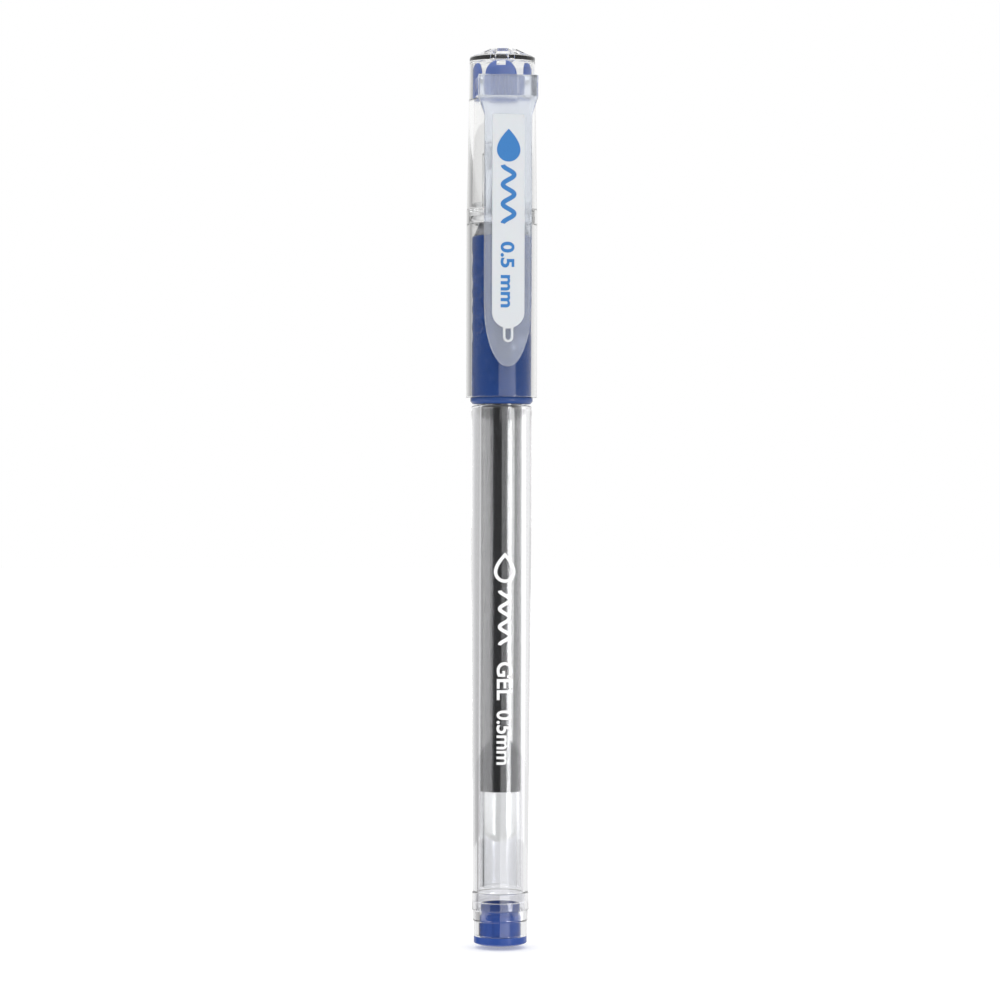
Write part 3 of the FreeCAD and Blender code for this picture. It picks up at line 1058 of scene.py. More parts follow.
@dataclass
class Refill(SubAssembly):
    """Clear tube with its ink, grease, holder, valve ball, nib and writing ball."""

    bore: float = 2.75
    contact: float = 0.015
    meniscus: float = 0.45
    rear_dome: float = 3.2
    front_dome: float = 7.9
    front_rise: float = 0.38
    duct: float = 0.6
    rib_depth: float = 0.15
    rib_pitch: float = 1.7
    carrier: float = 2.6
    flange_height: float = 1.5
    chamber_roof: float = 0.32
    holder_shoulder: float = 117.9
    waist_height: float = 122.5
    waist: float = 1.7
    front: float = 1.42
    check_clear: float = 0.15
    nib_shoulder: float = 129.0
    lip: float = 0.4

    def __post_init__(self) -> None:
        """Read the boxes of the refill's nodes."""
        self.tube_box = NodeBox.of("refill_tube")
        self.ink_box = NodeBox.of("ink_column")
        self.grease_box = NodeBox.of("ink_follower")
        self.holder_box = NodeBox.of("nib_holder")
        self.check_box = NodeBox.of("check_ball")
        self.nib_box = NodeBox.of("nib")
        self.ball_box = NodeBox.of("writing_ball")

    def tube(self) -> Piece:
        """Clear refill tube, open at its rear end."""
        box = self.tube_box
        return turned("refill_wall", rounded([
            (self.bore, box.bottom, 0.1),
            (box.radius, box.bottom, 0.12),
            (box.radius, box.top, 0.06),
            (self.bore, box.top, 0.04),
        ]))

    def ink(self) -> Piece:
        """Ink column that wets the wall, with a hollow meniscus towards the grease."""
        box = self.ink_box
        wet = self.bore + self.contact
        depth = self.meniscus
        sphere = (wet ** 2 + depth ** 2) / (2 * depth)
        rim = math.degrees(math.asin(wet / sphere))
        bowl = arc_points((0.0, box.bottom + depth - sphere), sphere, 90, 90 - rim, 10)
        return turned("gel_ink", bowl[:-1] + rounded([
            (wet, box.bottom, 0.0), (wet, box.top, 0.1), (0.0, box.top, 0.0)], closed=False))

    def grease(self) -> Piece:
        """Clear grease plug with a domed rear."""
        box = self.grease_box
        wall = self.bore - SLIP / 2
        rear = arc_points((0.0, box.bottom + self.rear_dome), self.rear_dome, 270, 270 + 52, 8)
        front = arc_points((0.0, box.top + self.front_rise - self.front_dome), self.front_dome, 70.5, 90, 8)
        return turned("follower_plug", rear + [(wall, box.bottom + 1.6), (wall, box.top - 0.15)] + front)

    def holder(self) -> Piece:
        """Carrier with sealing ribs in the tube, a stop flange, the valve chamber and the nib's socket."""
        box = self.holder_box
        joint = self.tube_box.top
        rib = self.bore - SLIP
        root = rib - self.rib_depth
        flange_top = joint + self.flange_height
        roof = self.check_box.top + self.chamber_roof
        seat = self.check_box.bottom - SLIP
        chamber = self.check_box.radius + self.check_clear
        socket = self.nib_box.radius + SLIP
        corners: list[Corner] = [(self.duct, box.bottom, 0.1), (root, box.bottom, 0.15)]
        for turn in range(3):
            start = box.bottom + 1.2 + self.rib_pitch * turn
            corners += [(root, start, 0.05), (rib, start + 0.2, 0.05), (rib, start + 0.7, 0.05),
                        (root, start + 0.9, 0.05)]
        corners += [
            (root, joint, 0.05),
            (box.radius, joint, 0.05),
            (box.radius, flange_top, 0.15),
            (self.carrier, flange_top, 0.1),
            (self.carrier, self.holder_shoulder, 0.15),
            (self.waist, self.waist_height, 0.3),
            (self.front, box.top, 0.06),
            (socket, box.top, 0.04),
            (socket, self.nib_box.bottom, 0.02),
            (self.duct, self.nib_box.bottom, 0.03),
            (self.duct, roof, 0.05),
            (chamber, roof, 0.1),
            (chamber, seat, 0.2),
            (self.duct, seat, 0.03),
        ]
        return turned("nib_carrier", rounded(corners, steps=3), 96)

    def sphere(self, name: str, box: NodeBox, steps: int) -> Piece:
        """Smooth ball in a node's place.

        Args:
            name: name of the new object.
            box: the ball's box.
            steps: segments from pole to pole.

        Returns:
            The ball.
        """
        centre = (box.bottom + box.top) / 2
        half = arc_points((0.0, centre), box.radius, -90, 90, steps)
        half[0] = (0.0, box.bottom)
        half[-1] = (0.0, box.top)
        return turned(name, half, FINE_STEPS)

    def nib(self) -> Piece:
        """Turned cone with a groove above its shank, a fine lip and a duct."""
        box = self.nib_box
        shoulder = self.nib_shoulder
        centre = (self.ball_box.bottom + self.ball_box.top) / 2
        seat = self.ball_box.radius + SLIP
        mouth = math.asin((box.top - centre) / seat)
        cup = arc_points((0.0, centre), seat, math.degrees(mouth), -68, 8)
        lip_in = cup[0]
        corners: list[Corner] = [
            (0.35, box.bottom, 0.04),
            (box.radius, box.bottom, 0.1),
            (box.radius, shoulder - 0.6, 0.03),
            (box.radius - 0.08, shoulder - 0.5, 0.03),
            (box.radius - 0.08, shoulder - 0.3, 0.03),
            (box.radius, shoulder - 0.2, 0.03),
            (box.radius, shoulder, 0.08),
            (box.radius - 0.12, shoulder + 0.12, 0.05),
            (self.lip + 0.12, box.top - 0.35, 0.15),
            (self.lip, box.top - 0.1, 0.04),
            (lip_in[0] + 0.03, box.top, 0.02),
        ]
        points = rounded(corners, closed=False, steps=4)
        duct = [(0.1, centre - 0.55), (0.35, centre - 0.75)]
        return turned("nib_cone", points + cup + duct, 96)

    def build(self) -> None:
        """Build and dress the refill's pieces."""
        self.hand_over(smooth(self.tube()), "refill", "refill_clear", Look.refill, ["refill_tube"])
        ink = self.hand_over(smooth(self.ink()), "refill", "ink", Look.ink, ["ink_column"])
        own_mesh(ink)
        self.hand_over(smooth(self.grease()), "follower", "grease", Look.grease, ["ink_follower"])
        self.hand_over(smooth(self.holder()), "refill", "holder_plastic", Look.holder, ["nib_holder"])
        self.hand_over(smooth(self.sphere("valve_ball", self.check_box, 32)), "valve", "ball_metal", Look.ball,
                       ["check_ball"])
        self.hand_over(smooth(self.nib()), "refill", "nib_metal", Look.nib, ["nib"])
        self.hand_over(smooth(self.sphere("tip_ball", self.ball_box, 32)), "ball", "ball_metal", Look.ball,
                       ["writing_ball"])


# ---- nose


@dataclass
class Nose(SubAssembly):
    """Smoky cone that screws into the barrel's neck."""

    step_height: float = 121.5
    step: float = 3.4
    tip_base: float = 2.45
    tip: float = 1.62
    spigot: float = 3.45
    inner: float = 2.72
    inner_top: float = 118.0
    throat: Point = (1.54, 126.9)
    hole: float = 1.27
    waist_height: float = 122.5
    waist: float = 1.82
    thread_pitch: float = 1.2
    thread_depth: float = 0.14
    thread_turns: int = 4

    def cone(self) -> Piece:
        """Cone with a stepped tip and thread ridges on its spigot."""
        box = NodeBox.of("nose_cone")
        seat = NodeBox.of("grip_sleeve").top
        root = self.spigot - self.thread_depth
        corners: list[Corner] = [(self.inner, box.bottom, 0.06), (root, box.bottom, 0.12)]
        for turn in range(self.thread_turns):
            crest = box.bottom + 1.0 + self.thread_pitch * turn
            corners += [(root, crest - 0.3, 0.04), (self.spigot, crest - 0.08, 0.04),
                        (self.spigot, crest + 0.08, 0.04), (root, crest + 0.3, 0.04)]
        corners += [
            (root, seat - 1.4, 0.05),
            (self.spigot, seat - 1.2, 0.05),
            (self.spigot, seat, 0.05),
            (box.radius - 0.05, seat, 0.05),
            (box.radius, seat + 0.18, 0.12),
            (self.step, self.step_height, 0.12),
            (self.tip_base, self.step_height + 0.15, 0.2),
            (self.tip, box.top - 0.25, 0.25),
            (self.tip - 0.2, box.top, 0.08),
            (self.hole, box.top, 0.04),
            (self.hole, box.top - 1.5, 0.05),
            (*self.throat, 0.1),
            (self.waist, self.waist_height, 0.3),
            (self.inner, self.inner_top, 0.2),
        ]
        return turned("nose_cone_body", rounded(corners, steps=3))

    def build(self) -> None:
        """Build and dress the cone."""
        self.hand_over(smooth(self.cone()), "nose", "smoke_nose", Look.nose, ["nose_cone"])


# ---- cap


@dataclass
class Cap(SubAssembly):
    """Clear two-part cap with its inner cap, pad and blue crown insert."""

    bore: float = 5.1
    rim_chamfer: float = 0.12
    socket: float = 5.5
    flange_bottom: float = 120.4
    base: float = 5.85
    shoulder: float = 148.3
    shoulder_radius: float = 5.45
    dome_run: float = 2.85
    wall: float = 0.85
    vent: float = 1.4
    slot_width: float = 1.1
    slot_start: float = 2.4
    slot_floor: float = 148.75
    seat: float = 4.95
    inner_wall: float = 3.3
    inner_neck: float = 2.75
    inner_bore: float = 1.87
    inner_roof: float = 0.7
    mouth: float = 2.7
    mouth_height: float = 121.85
    upstand: float = 1.0
    dent_radius: float = 1.1
    dent_sink: float = 0.95
    dent_width: float = 0.75
    lug_heights: tuple[float, float] = (141.2, 144.4)
    insert_turn: float = -10.0
    lobe_widths: tuple[float, float] = (3.0, 5.0)
    lobe_bore: float = 3.8
    insert_base: float = 1.2
    flute: float = 0.3
    flute_gap: float = 0.75
    flute_out: float = 0.12
    flute_length: float = 6.4
    tool_length: float = 20.0
    notch_width: float = 1.5
    notch_depth: float = 1.0
    insert_bore: float = 2.2

    def __post_init__(self) -> None:
        """Read the boxes of the cap's nodes."""
        self.shell_box = NodeBox.of("cap_shell")
        self.crown_box = NodeBox.of("cap_crown")
        self.inner_box = NodeBox.of("inner_cap")
        self.seal_box = NodeBox.of("tip_seal")
        self.insert_box = NodeBox.of("crown_insert")

    def shell(self) -> Piece:
        """Lower tube of the cap, chamfered inside its rim."""
        box = self.shell_box
        return turned("cap_tube", rounded([
            (self.bore + self.rim_chamfer, box.bottom, 0.03),
            (box.radius, box.bottom, 0.05),
            (box.radius, box.top, 0.1),
            (self.socket, box.top, 0.05),
            (self.socket, self.flange_bottom, 0.06),
            (self.bore, self.flange_bottom, 0.05),
            (self.bore, box.bottom + self.rim_chamfer, 0.04),
        ]))

    def crown_radius(self, height: float) -> float:
        """Outer radius of the crown's wall at a height."""
        share = (height - self.crown_box.bottom) / (self.shoulder - self.crown_box.bottom)
        return self.base + share * (self.shoulder_radius - self.base)

    def crown(self) -> Piece:
        """Upper clear part: tapered wall, insert's seat, slotted dome with a vent and the clip's lug."""
        box = self.crown_box
        roof = self.insert_box.top + SLIP
        floor = self.insert_box.bottom - SLIP
        top = self.shoulder_radius
        piece = turned("cap_crown_body", rounded([
            (self.base - self.wall, box.bottom, 0.06),
            (self.base, box.bottom, 0.1),
            (top, self.shoulder, 0.25),
            (top - self.dome_run, box.top, 0.4),
            (self.vent + 0.5, box.top, 0.2),
            (self.vent, box.top - 0.4, 0.15),
            (self.vent, roof, 0.05),
            (self.seat, roof, 0.25),
            (self.seat, floor, 0.05),
            (self.crown_radius(floor) - self.wall, floor, 0.06),
        ], steps=5))
        length = top - self.slot_start + 2
        slots = [block(f"slot_{quarter}", (self.slot_start + length / 2, 0, self.slot_floor + 1),
                       (length, self.slot_width, 2.0), 45 + 90 * quarter) for quarter in range(4)]
        combine(piece, joined(slots), Cut.AWAY)
        clip = NodeBox.of("clip_tongue")
        lug_low, lug_high = self.lug_heights
        front = box.low.y
        lug = block("lug", (0, front / 2, (lug_low + lug_high) / 2), (clip.high.x * 2, -front, lug_high - lug_low))
        core = cylinder("core", self.seat + 0.12, self.tool_length, (0, 0, lug_low))
        soften(lug, 0.25)
        combine(lug, core, Cut.AWAY)
        return combine(piece, lug, Cut.JOIN)

    def inner(self) -> Piece:
        """Inner cap: a necked tube closed over the nib, with a flange and an upstand."""
        box = self.inner_box
        nose = NodeBox.of("nose_cone")
        seam = self.shell_box.top
        rise = seam + self.upstand
        roof = box.top - self.inner_roof
        upstand = self.crown_radius(rise) - self.wall - SLIP
        return turned("inner_cap_body", rounded([
            (0.0, box.top, 0.0),
            (self.inner_neck, box.top, 0.18),
            (self.inner_neck, box.top - 1.8, 0.08),
            (self.inner_wall, box.top - 1.9, 0.08),
            (self.inner_wall, seam + 0.2, 0.15),
            (upstand - 0.5, seam + 0.2, 0.1),
            (upstand - 0.5, rise, 0.06),
            (upstand, rise, 0.06),
            (upstand, seam, 0.03),
            (box.radius, seam, 0.05),
            (box.radius, box.bottom, 0.08),
            (self.inner_wall + 0.4, self.mouth_height, 0.1),
            (self.mouth, self.mouth_height, 0.1),
            (self.inner_bore, nose.top + 0.2, 0.3),
            (self.inner_bore, roof, 0.1),
            (0.0, roof, 0.0),
        ], closed=False))

    def pad(self) -> Piece:
        """Soft pad over the ball, with a shallow print of the nib's cone."""
        box = self.seal_box
        dent = arc_points((0.0, box.bottom - self.dent_sink), self.dent_radius, 90, 58, 5)
        return turned("tip_pad", dent + rounded([
            (self.dent_width, box.bottom, 0.0), (box.radius, box.bottom, 0.1), (box.radius, box.top, 0.1),
            (0.0, box.top, 0.0)], closed=False), FINE_STEPS)

    def arm(self, width: float, turn: float) -> Piece:
        """Arched bar across the insert, from one lobe to the opposite one.

        Args:
            width: width of both lobes.
            turn: direction of the bar in degrees, 0 for front to back.

        Returns:
            The bar.
        """
        box = self.insert_box
        half = width / 2
        outline = arc_points((0.0, box.top + SLIP - half), half, 0, 180, 24)
        outline += [(-half, box.bottom - 1.0), (half, box.bottom - 1.0)]
        bar = slab("arm", outline, -2 * box.radius, 2 * box.radius)
        bar.rotation_euler.z = math.radians(turn)
        return settle(bar)

    def insert(self) -> Piece:
        """Blue insert: four thin arched lobes on a base ring, notched on top and fluted below."""
        box = self.insert_box
        body = turned("crown_insert_body", rounded([
            (self.insert_bore, box.bottom, 0.1),
            (box.radius, box.bottom, 0.12),
            (box.radius, box.top - 1.3, 0.4),
            (box.radius - 0.35, box.top - 0.4, 0.3),
            (box.radius - 0.95, box.top, 0.2),
            (self.insert_bore, box.top, 0.1),
        ]))
        arms = [self.arm(width, self.insert_turn + turn) for turn, width in zip((90, 0), self.lobe_widths)]
        combine(arms[0], arms[1], Cut.JOIN)
        combine(body, arms[0], Cut.COMMON)
        middle = box.bottom + self.insert_base + self.tool_length / 2
        combine(body, cylinder("hollow", self.lobe_bore, self.tool_length, (0, 0, middle)), Cut.AWAY)
        for turn in (0, 90):
            notch = block("notch", (0, 0, box.top), (4 * box.radius, self.notch_width, 2 * self.notch_depth),
                          self.insert_turn + turn)
            combine(body, notch, Cut.AWAY)
        flutes = []
        across = box.radius + self.flute_out
        for quarter in range(4):
            for step in range(-2, 3):
                spread = math.degrees(step * self.flute_gap / box.radius)
                angle = math.radians(self.insert_turn + 90 * quarter + spread)
                flutes.append(cylinder("flute", self.flute, self.flute_length,
                                       (across * math.cos(angle), across * math.sin(angle), box.bottom), 16))
        combine(body, joined(flutes), Cut.AWAY)
        return soften(body, 0.08, 2, 40)

    def build(self) -> None:
        """Build and dress the cap's pieces."""
        self.hand_over(smooth(self.shell()), "cap", "clear_cap", Look.cap, ["cap_shell"])
        self.hand_over(smooth(self.crown(), 30.0), "cap", "clear_cap", Look.cap, ["cap_crown"])
        self.hand_over(smooth(self.inner()), "cap", "clear_inner", Look.inner_cap, ["inner_cap"])
        self.hand_over(smooth(self.pad()), "seal", "seal_rubber", Look.seal, ["tip_seal"])
        self.hand_over(smooth(self.insert(), 35.0), "cap", "blue_plastic", Look.insert, ["crown_insert"])


# ---- clip


@dataclass
class Clip(SubAssembly):
    """Frosted clip with its white plate."""

    half: float = 3.92
    thickness: float = 1.2
    root_bottom: float = 140.8
    root_taper_end: float = 138.0
    taper: float = 107.2
    plate_width: float = 5.36
    plate_bottom: float = 102.8
    tab_width: float = 1.7
    tab_wall: float = 0.4
    seat_depth: float = 0.3
    seat_slack: float = 0.03
    bead_radius: float = 8.0
    bead_height: float = 99.2
    bead_gap: float = 0.12
    bead_inset: float = 0.25
    bead_root: float = 0.4
    print_room: float = 0.03

    def __post_init__(self) -> None:
        """Read the boxes of the clip's nodes."""
        self.tongue_box = NodeBox.of("clip_tongue")
        self.plate_box = NodeBox.of("clip_plate")

    def plate_outline(self, slack: float) -> list[Point]:
        """Outline of the plate with its tab: straight top, half-round foot.

        Args:
            slack: how far the outline is grown.

        Returns:
            The (x, z) points.
        """
        half = self.plate_width / 2 + slack
        foot = self.plate_bottom + self.plate_width / 2
        top = self.plate_box.top + slack
        tab = self.tab_width / 2 + slack
        tab_centre = self.plate_box.bottom + self.tab_width / 2
        join = math.degrees(math.asin(tab / half))
        right = fillet((0, top), (half, top), (half, foot), 0.5, 5)
        right += arc_points((0, foot), half, 0, -90 + join, 14)
        right += arc_points((0, tab_centre), tab, 0, -90, 6)
        return right + [(-x, z) for x, z in right[::-1][1:]]

    def tongue_outline(self, inset: float = 0.0) -> list[Point]:
        """Outline of the clip: wide root, straight sides, elliptical tip.

        Args:
            inset: how far the sides and the tip are drawn in.

        Returns:
            The (x, z) points.
        """
        box = self.tongue_box
        root = box.high.x - inset
        tip = box.bottom + inset
        side = self.half - inset
        right = [(root, box.top - 0.6)]
        right += fillet((root, box.top), (root, self.root_bottom), (side, self.root_taper_end), 1.2, 5)
        right += fillet((root, self.root_bottom), (side, self.root_taper_end), (side, self.taper), 1.2, 5)
        for step in range(17):
            angle = math.pi / 2 * step / 16
            right.append((side * math.cos(angle), self.taper + (tip - self.taper) * math.sin(angle)))
        return right + [(-x, z) for x, z in right[::-1][1:]]

    def tongue(self) -> Piece:
        """Frosted tongue with a rounded hinge end, the plate's seat and a bead behind its tip."""
        box = self.tongue_box
        back = box.low.y + self.thickness
        piece = soften(slab("clip_body", self.tongue_outline(), box.low.y, back), 0.22, 3, 50)
        curl = self.thickness / 2
        end = cylinder("hinge_end", curl, box.high.x * 2, (0, box.low.y + curl, box.top - curl), FINE_STEPS, Axis.X)
        combine(piece, end, Cut.JOIN)
        rest = -NodeBox.of("cap_shell").radius - self.bead_gap
        bead = slab("bead", self.tongue_outline(self.bead_inset), back - self.bead_root, rest)
        swell = cylinder("swell", self.bead_radius, box.high.x * 3, (0, rest - self.bead_radius, self.bead_height),
                         along=Axis.X)
        combine(bead, swell, Cut.COMMON)
        combine(piece, bead, Cut.JOIN)
        floor = box.low.y + self.seat_depth
        seat = slab("seat", self.plate_outline(self.seat_slack), box.low.y - 0.5, floor)
        return combine(piece, seat, Cut.AWAY)

    def plate(self) -> Piece:
        """White plate with softened edges and a slotted tab, set in by the thickness of its print."""
        box = self.plate_box
        piece = slab("name_plate", self.plate_outline(0.0), box.low.y + self.print_room, box.high.y)
        half = self.tab_width / 2 - self.tab_wall
        low = box.bottom + self.tab_width / 2
        opening = [(half, self.plate_bottom - 0.05)] + arc_points((0, low), half, 0, -180, 10)
        opening.append((-half, self.plate_bottom - 0.05))
        hole = slab("tab_hole", opening, box.low.y - 1, box.high.y + 1)
        combine(piece, hole, Cut.AWAY)
        return soften(piece, 0.1, 3, 40)

    def build(self) -> None:
        """Build and dress the clip's pieces."""
        tongue = smooth(self.tongue(), 30.0, weighted=True)
        self.hand_over(tongue, "clip", "frosted_clip", Look.clip, ["clip_tongue"])
        plate = smooth(self.plate(), 30.0, weighted=True)
        self.hand_over(plate, "clip", "white_plate", Look.plate, ["clip_plate"])


# ---- prints


@dataclass
class Prints(SubAssembly):
    """Generic marks printed on the plate and on the barrel: a drop, a wave, GEL and the line width."""

    film: float = 0.015
    strip: float = 0.25
    strips: int = 10
    drop_round: float = 0.36
    drop_pull: float = 1.5
    wave_steps: int = 22
    clear: float = 0.5

    def letters(self, name: str, text: str, height: float, length: float, weight: float) -> Piece:
        """Write a word as a flat mesh with its left end at the origin.

        Args:
            name: name of the new object.
            text: the word.
            height: height of its capitals.
            length: length of the whole word.
            weight: how much the strokes are fattened, in shares of the letter size.

        Returns:
            The flat word in the XY plane, in millimetre-true metres.
        """
        deselect()
        bpy.ops.object.text_add()
        word = bpy.context.active_object
        word.name = name
        word.data.body = text
        word.data.size = 1.0
        word.data.offset = weight
        word.data.resolution_u = 6
        bpy.ops.object.convert(target="MESH")
        word = bpy.context.active_object
        lows = [min(v.co[k] for v in word.data.vertices) for k in range(2)]
        highs = [max(v.co[k] for v in word.data.vertices) for k in range(2)]
        word.location = (-lows[0], -lows[1], 0)
        settle(word)
        word.scale = (length * MM / (highs[0] - lows[0]), height * MM / (highs[1] - lows[1]), 1)
        return settle(word)

    def stand_up(self, mark: Piece, x: float, y: float, top: float) -> Piece:
        """Turn a flat mark so that it reads downwards on the front and move it into place.

        Args:
            mark: flat mark in the XY plane.
            x: place of the mark's foot line.
            y: depth of the mark.
            top: height at which it starts.

        Returns:
            The same object with its place in its mesh.
        """
        pick(mark)
        turn = Matrix(((0, 1, 0), (0, 0, -1), (-1, 0, 0))).to_4x4()
        mark.matrix_world = Matrix.Translation(Vector((x, y, top)) * MM) @ turn
        return settle(mark)

    def lay_on(self, mark: Piece, ground: Piece, curved: bool) -> Piece:
        """Lay a mark on its ground and give it the thickness of a print.

        Args:
            mark: flat mark that stands in front of the ground.
            ground: piece that carries it.
            curved: whether the mark has to bend.

        Returns:
            The finished mark.
        """
        pick(mark)
        bpy.ops.object.mode_set(mode="EDIT")
        if curved:
            for cut in range(-self.strips, self.strips + 1):
                bpy.ops.mesh.select_all(action="SELECT")
                bpy.ops.mesh.bisect(plane_co=(cut * self.strip * MM, 0, 0), plane_no=Axis.X.value)
        bpy.ops.mesh.select_all(action="SELECT")
        bpy.ops.mesh.remove_doubles(threshold=MERGE_DISTANCE)
        bpy.ops.object.mode_set(mode="OBJECT")
        apply_modifier(mark, "SHRINKWRAP", wrap_method="PROJECT", target=ground, use_project_y=True,
                       use_positive_direction=True, use_negative_direction=False, offset=self.film * MM)
        apply_modifier(mark, "SOLIDIFY", thickness=self.film * 1.6 * MM, offset=0.0)
        pick(mark)
        bpy.ops.object.mode_set(mode="EDIT")
        return finish_edit(mark)

    def drop(self, name: str, size: float, hollow: float = 0.0) -> Piece:
        """Ink drop as a flat mesh.

        Args:
            name: name of the new object.
            size: its height.
            hollow: share of the inside that is left open.

        Returns:
            The flat drop.
        """
        radius = size * self.drop_round
        piece = begin(name, bpy.ops.mesh.primitive_circle_add, vertices=48, radius=radius * MM, fill_type="NGON")
        bpy.ops.mesh.select_mode(type="VERT")
        bpy.ops.mesh.select_all(action="DESELECT")
        mesh = bmesh.from_edit_mesh(piece.data)
        tip = max(mesh.verts, key=lambda vertex: -vertex.co.x)
        tip.select_set(True)
        bmesh.update_edit_mesh(piece.data)
        bpy.ops.transform.translate(value=(-(size - 2 * radius) * MM, 0, 0), use_proportional_edit=True,
                                    proportional_edit_falloff="SHARP", proportional_size=radius * self.drop_pull * MM)
        if hollow:
            bpy.ops.mesh.select_all(action="SELECT")
            bpy.ops.mesh.select_mode(type="FACE")
            bpy.ops.mesh.select_all(action="SELECT")
            bpy.ops.mesh.inset(thickness=hollow * MM)
            bpy.ops.mesh.delete(type="FACE")
        bpy.ops.object.mode_set(mode="OBJECT")
        return piece

    def wave(self, name: str, length: float, height: float, turns: int, width: float) -> Piece:
        """Plain wavy line as a flat ribbon.

        Args:
            name: name of the new object.
            length: length of the line.
            height: height from trough to crest.
            turns: number of waves.
            width: width of the stroke.

        Returns:
            The flat ribbon in the XY plane.
        """
        steps = self.wave_steps * turns
        points = []
        for step in range(steps + 1):
            turn = math.tau * turns * step / steps
            points.append(Vector((length * step / steps, -height / 2 * math.cos(turn), 0)))
        piece = draw_line(name, points, False)
        bpy.ops.object.mode_set(mode="OBJECT")
        pick(piece)
        bpy.ops.object.convert(target="CURVE")
        piece = bpy.context.active_object
        piece.data.dimensions = "3D"
        piece.data.twist_mode = "Z_UP"
        piece.data.extrude = width / 2 * MM
        for spline in piece.data.splines:
            for point in spline.points:
                point.tilt = math.pi / 2
        bpy.ops.object.convert(target="MESH")
        return bpy.context.active_object

    def print_on(self, mark: Piece, place: tuple[float, float], ground: Piece, body: str,
                 slot: str, finish: Finish, curved: bool) -> None:
        """Place one mark, lay it on its ground and hand it over.

        Args:
            mark: flat mark.
            place: X of its foot line and the height where it starts.
            ground: piece that carries it.
            body: body that it rides on.
            slot: material slot.
            finish: its ink.
            curved: whether the ground is round.
        """
        front = min(vertex.co.y for vertex in ground.data.vertices) / MM - self.clear
        self.stand_up(mark, place[0], front, place[1])
        self.hand_over(smooth(self.lay_on(mark, ground, curved)), body, slot, finish)

    def build(self) -> None:
        """Build and dress every mark."""
        plate = bpy.data.objects["name_plate"]
        barrel = bpy.data.objects["barrel_body"]
        on_plate = (plate, "clip", "white_plate", Look.blue_print, False)
        on_barrel = (barrel, "pen_body", "clear_barrel", Look.white_print, True)
        self.print_on(self.drop("plate_drop", 5.4), (0.0, 132.1), *on_plate)
        self.print_on(self.wave("plate_wave", 9.6, 1.9, 3, 0.75), (0.0, 129.6), *on_plate)
        self.print_on(self.letters("plate_width_mark", "0.5 mm", 2.3, 10.8, 0.03), (-1.3, 117.0), *on_plate)
        self.print_on(self.drop("barrel_drop", 5.0, 0.55), (0.0, 62.7), *on_barrel)
        self.print_on(self.wave("barrel_wave", 9.0, 1.7, 3, 0.6), (0.0, 59.6), *on_barrel)
        self.print_on(self.letters("barrel_gel", "GEL", 2.7, 6.3, 0.02), (-1.3, 47.8), *on_barrel)
        self.print_on(self.letters("barrel_width_mark", "0.5mm", 2.5, 9.0, 0.02), (-1.3, 39.8), *on_barrel)


# ---- studio


Panels = Sequence[tuple[float, float]]
FOOT_PANELS: Panels = (
    (-180, 0.9), (-134, 0.85), (-126, 0.1), (-3, 0.1), (0, 1.5), (40, 1.6), (44, 0.35), (100, 0.35), (130, 0.9),
    (180, 0.9))
LOW_PANELS: Panels = (
    (-180, 0.82), (-165, 0.68), (-145, 0.55), (-122, 0.4), (-112, 0.42), (-104, 1.4), (-97, 2.6), (-45, 2.6),
    (-40, 0.22), (1, 0.2), (4, 1.1), (31, 1.2), (34, 12.0), (49, 12.0), (53, 2.3), (96, 2.3), (108, 1.9),
    (119, 1.5), (147, 0.8), (165, 0.85), (180, 0.82))
HIGH_PANELS: Panels = (
    (-180, 0.9), (-165, 0.75), (-133, 0.35), (-100, 0.3), (-70, 0.15), (-12, 0.12), (-7, 1.2), (46, 1.5),
    (51, 0.25), (95, 0.35), (133, 0.75), (163, 0.95), (180, 0.9))


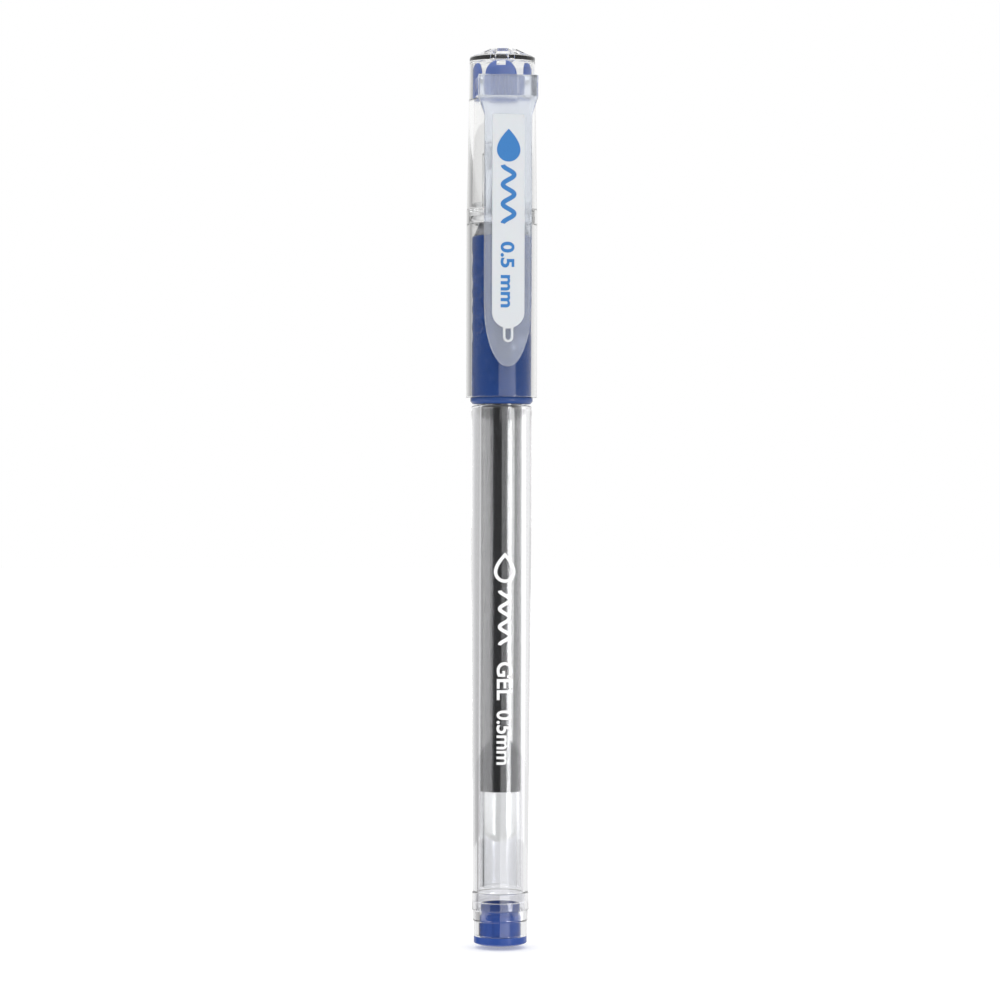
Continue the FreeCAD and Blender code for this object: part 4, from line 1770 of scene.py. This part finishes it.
@dataclass
class Studio:
    """Pale floor, the camera, and three rings of soft panels between an even glow above and below."""

    distance: float = 0.548
    azimuth: float = -7.3
    aside: float = -0.00021
    height: float = 0.07458
    lens: float = 118.3
    roll: float = -0.142
    floor_size: float = 6.0
    floor_glow: float = 0.3
    ambient: float = 0.95
    wall_gain: float = 0.8
    above: float = 1.0
    below: float = 0.85
    foot_edge: float = -0.2
    low_edge: float = -0.088
    middle_edge: float = 0.0305
    high_edge: float = 0.115

    def camera(self) -> None:
        """Place the camera level with the middle of the pen."""
        data = bpy.data.cameras.new("camera")
        data.lens = self.lens
        data.sensor_width = 36.0
        data.clip_start = 0.01
        data.clip_end = 50.0
        camera = bpy.data.objects.new("camera", data)
        bpy.context.scene.collection.objects.link(camera)
        turn = math.radians(self.azimuth)
        across = Vector((math.cos(turn), math.sin(turn), 0.0))
        back = Vector((math.sin(turn), -math.cos(turn), 0.0))
        camera.location = back * self.distance + across * self.aside + Vector((0.0, 0.0, self.height))
        camera.rotation_mode = "XYZ"
        camera.rotation_euler = (math.pi / 2, math.radians(self.roll), turn)
        bpy.context.scene.camera = camera

    def floor(self) -> None:
        """Large matt floor at the height of the pen's foot, lit a little from below as a light table is."""
        floor = begin("floor", bpy.ops.mesh.primitive_plane_add, size=self.floor_size)
        bpy.ops.mesh.subdivide(number_cuts=4)
        finish_edit(floor)
        floor.location.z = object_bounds()[0][2] - 0.00005
        floor.visible_glossy = False
        floor.visible_transmission = False
        material = bpy.data.materials.new("matt_floor")
        tree = ShaderTree(material)
        cloud = tree.noise((2.0, 2.0, 2.0), 2.0)
        tree.surface({"Base Color": tree.blend(cloud, (0.88, 0.88, 0.88), (0.90, 0.90, 0.90)), "Roughness": 0.9,
                      "Specular IOR Level": 0.0, "Emission Color": (1.0, 1.0, 1.0, 1.0),
                      "Emission Strength": self.floor_glow})
        floor.data.materials.append(material)
        floor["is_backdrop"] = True

    def ring(self, tree: ShaderTree, place: Signal, panels: Panels) -> Signal:
        """Give the brightness of one ring of panels.

        Args:
            tree: the world's tree.
            place: direction round the pen, from 0 to 1.
            panels: (degrees to the right of the camera, level) stops.

        Returns:
            The brightness in that direction.
        """
        strongest = max(level for _, level in panels)
        stops = [(degrees / 360 + 0.5, (level / strongest,) * 3) for degrees, level in panels]
        ramp = tree.node("ShaderNodeValToRGB", {"stops": stops}, {0: place})
        return Signal(tree, ramp.socket) * strongest

    def light(self) -> None:
        """Fill the world with soft light, and stand the three rings of panels round the pen.

        Rays that have bounced off a matt surface see an even ambient level instead of the panels, and a
        little more of it where they pass a clear wall. The camera itself sees plain white.
        """
        world = bpy.data.worlds.new("studio")
        bpy.context.scene.world = world
        tree = ShaderTree(world)
        way = tree.node("ShaderNodeTexCoord", output="Generated")
        split = tree.node("ShaderNodeSeparateXYZ", {}, {0: way})
        x, y, z = (Signal(tree, split.socket.node.outputs[index]) for index in range(3))
        front = math.radians(self.azimuth)
        right = x * math.cos(front) + y * math.sin(front)
        near = x * math.sin(front) - y * math.cos(front)
        angle = tree.node("ShaderNodeMath", {"operation": "ARCTAN2"}, {0: right, 1: near})
        place = angle / math.tau + 0.5
        foot, low, high = (self.ring(tree, place, panels) for panels in (FOOT_PANELS, LOW_PANELS, HIGH_PANELS))
        level: Value = self.below
        for edge, zone in ((self.foot_edge, foot), (self.low_edge, low), (self.middle_edge, high),
                           (self.high_edge, self.above)):
            inside = (z - edge).over(0.0)
            level = (1.0 - inside) * level + inside * zone
        soft_ray = tree.node("ShaderNodeLightPath", output="Diffuse Depth").over(0.5)
        through_wall = tree.node("ShaderNodeLightPath", output="Transmission Depth").over(0.5)
        level = level * (1.0 - soft_ray) + soft_ray * (through_wall * self.wall_gain + self.ambient)
        camera_ray = tree.node("ShaderNodeLightPath", output="Is Camera Ray")
        level = level * (1.0 - camera_ray) + camera_ray
        shine = tree.node("ShaderNodeBackground", {}, {"Color": (1.0, 1.0, 1.0, 1.0), "Strength": level})
        tree.node("ShaderNodeOutputWorld", {}, {"Surface": shine})

    def build(self) -> None:
        """Build the studio and set how the scene is exposed."""
        self.camera()
        self.floor()
        self.light()
        scene = bpy.context.scene
        scene.view_settings.view_transform = "Standard"
        scene.cycles.max_bounces = 28
        scene.cycles.transmission_bounces = 28
        scene.cycles.glossy_bounces = 8
        scene.cycles.transparent_max_bounces = 16


def main() -> None:
    """Build the pen around its frame."""
    logging.basicConfig(level=logging.INFO, format="%(name)s: %(message)s")
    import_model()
    for part in (Barrel(), Grip(), Refill(), Nose(), Cap(), Clip(), Prints()):
        part.build()
    Studio().build()


if __name__ == "__main__":
    main()
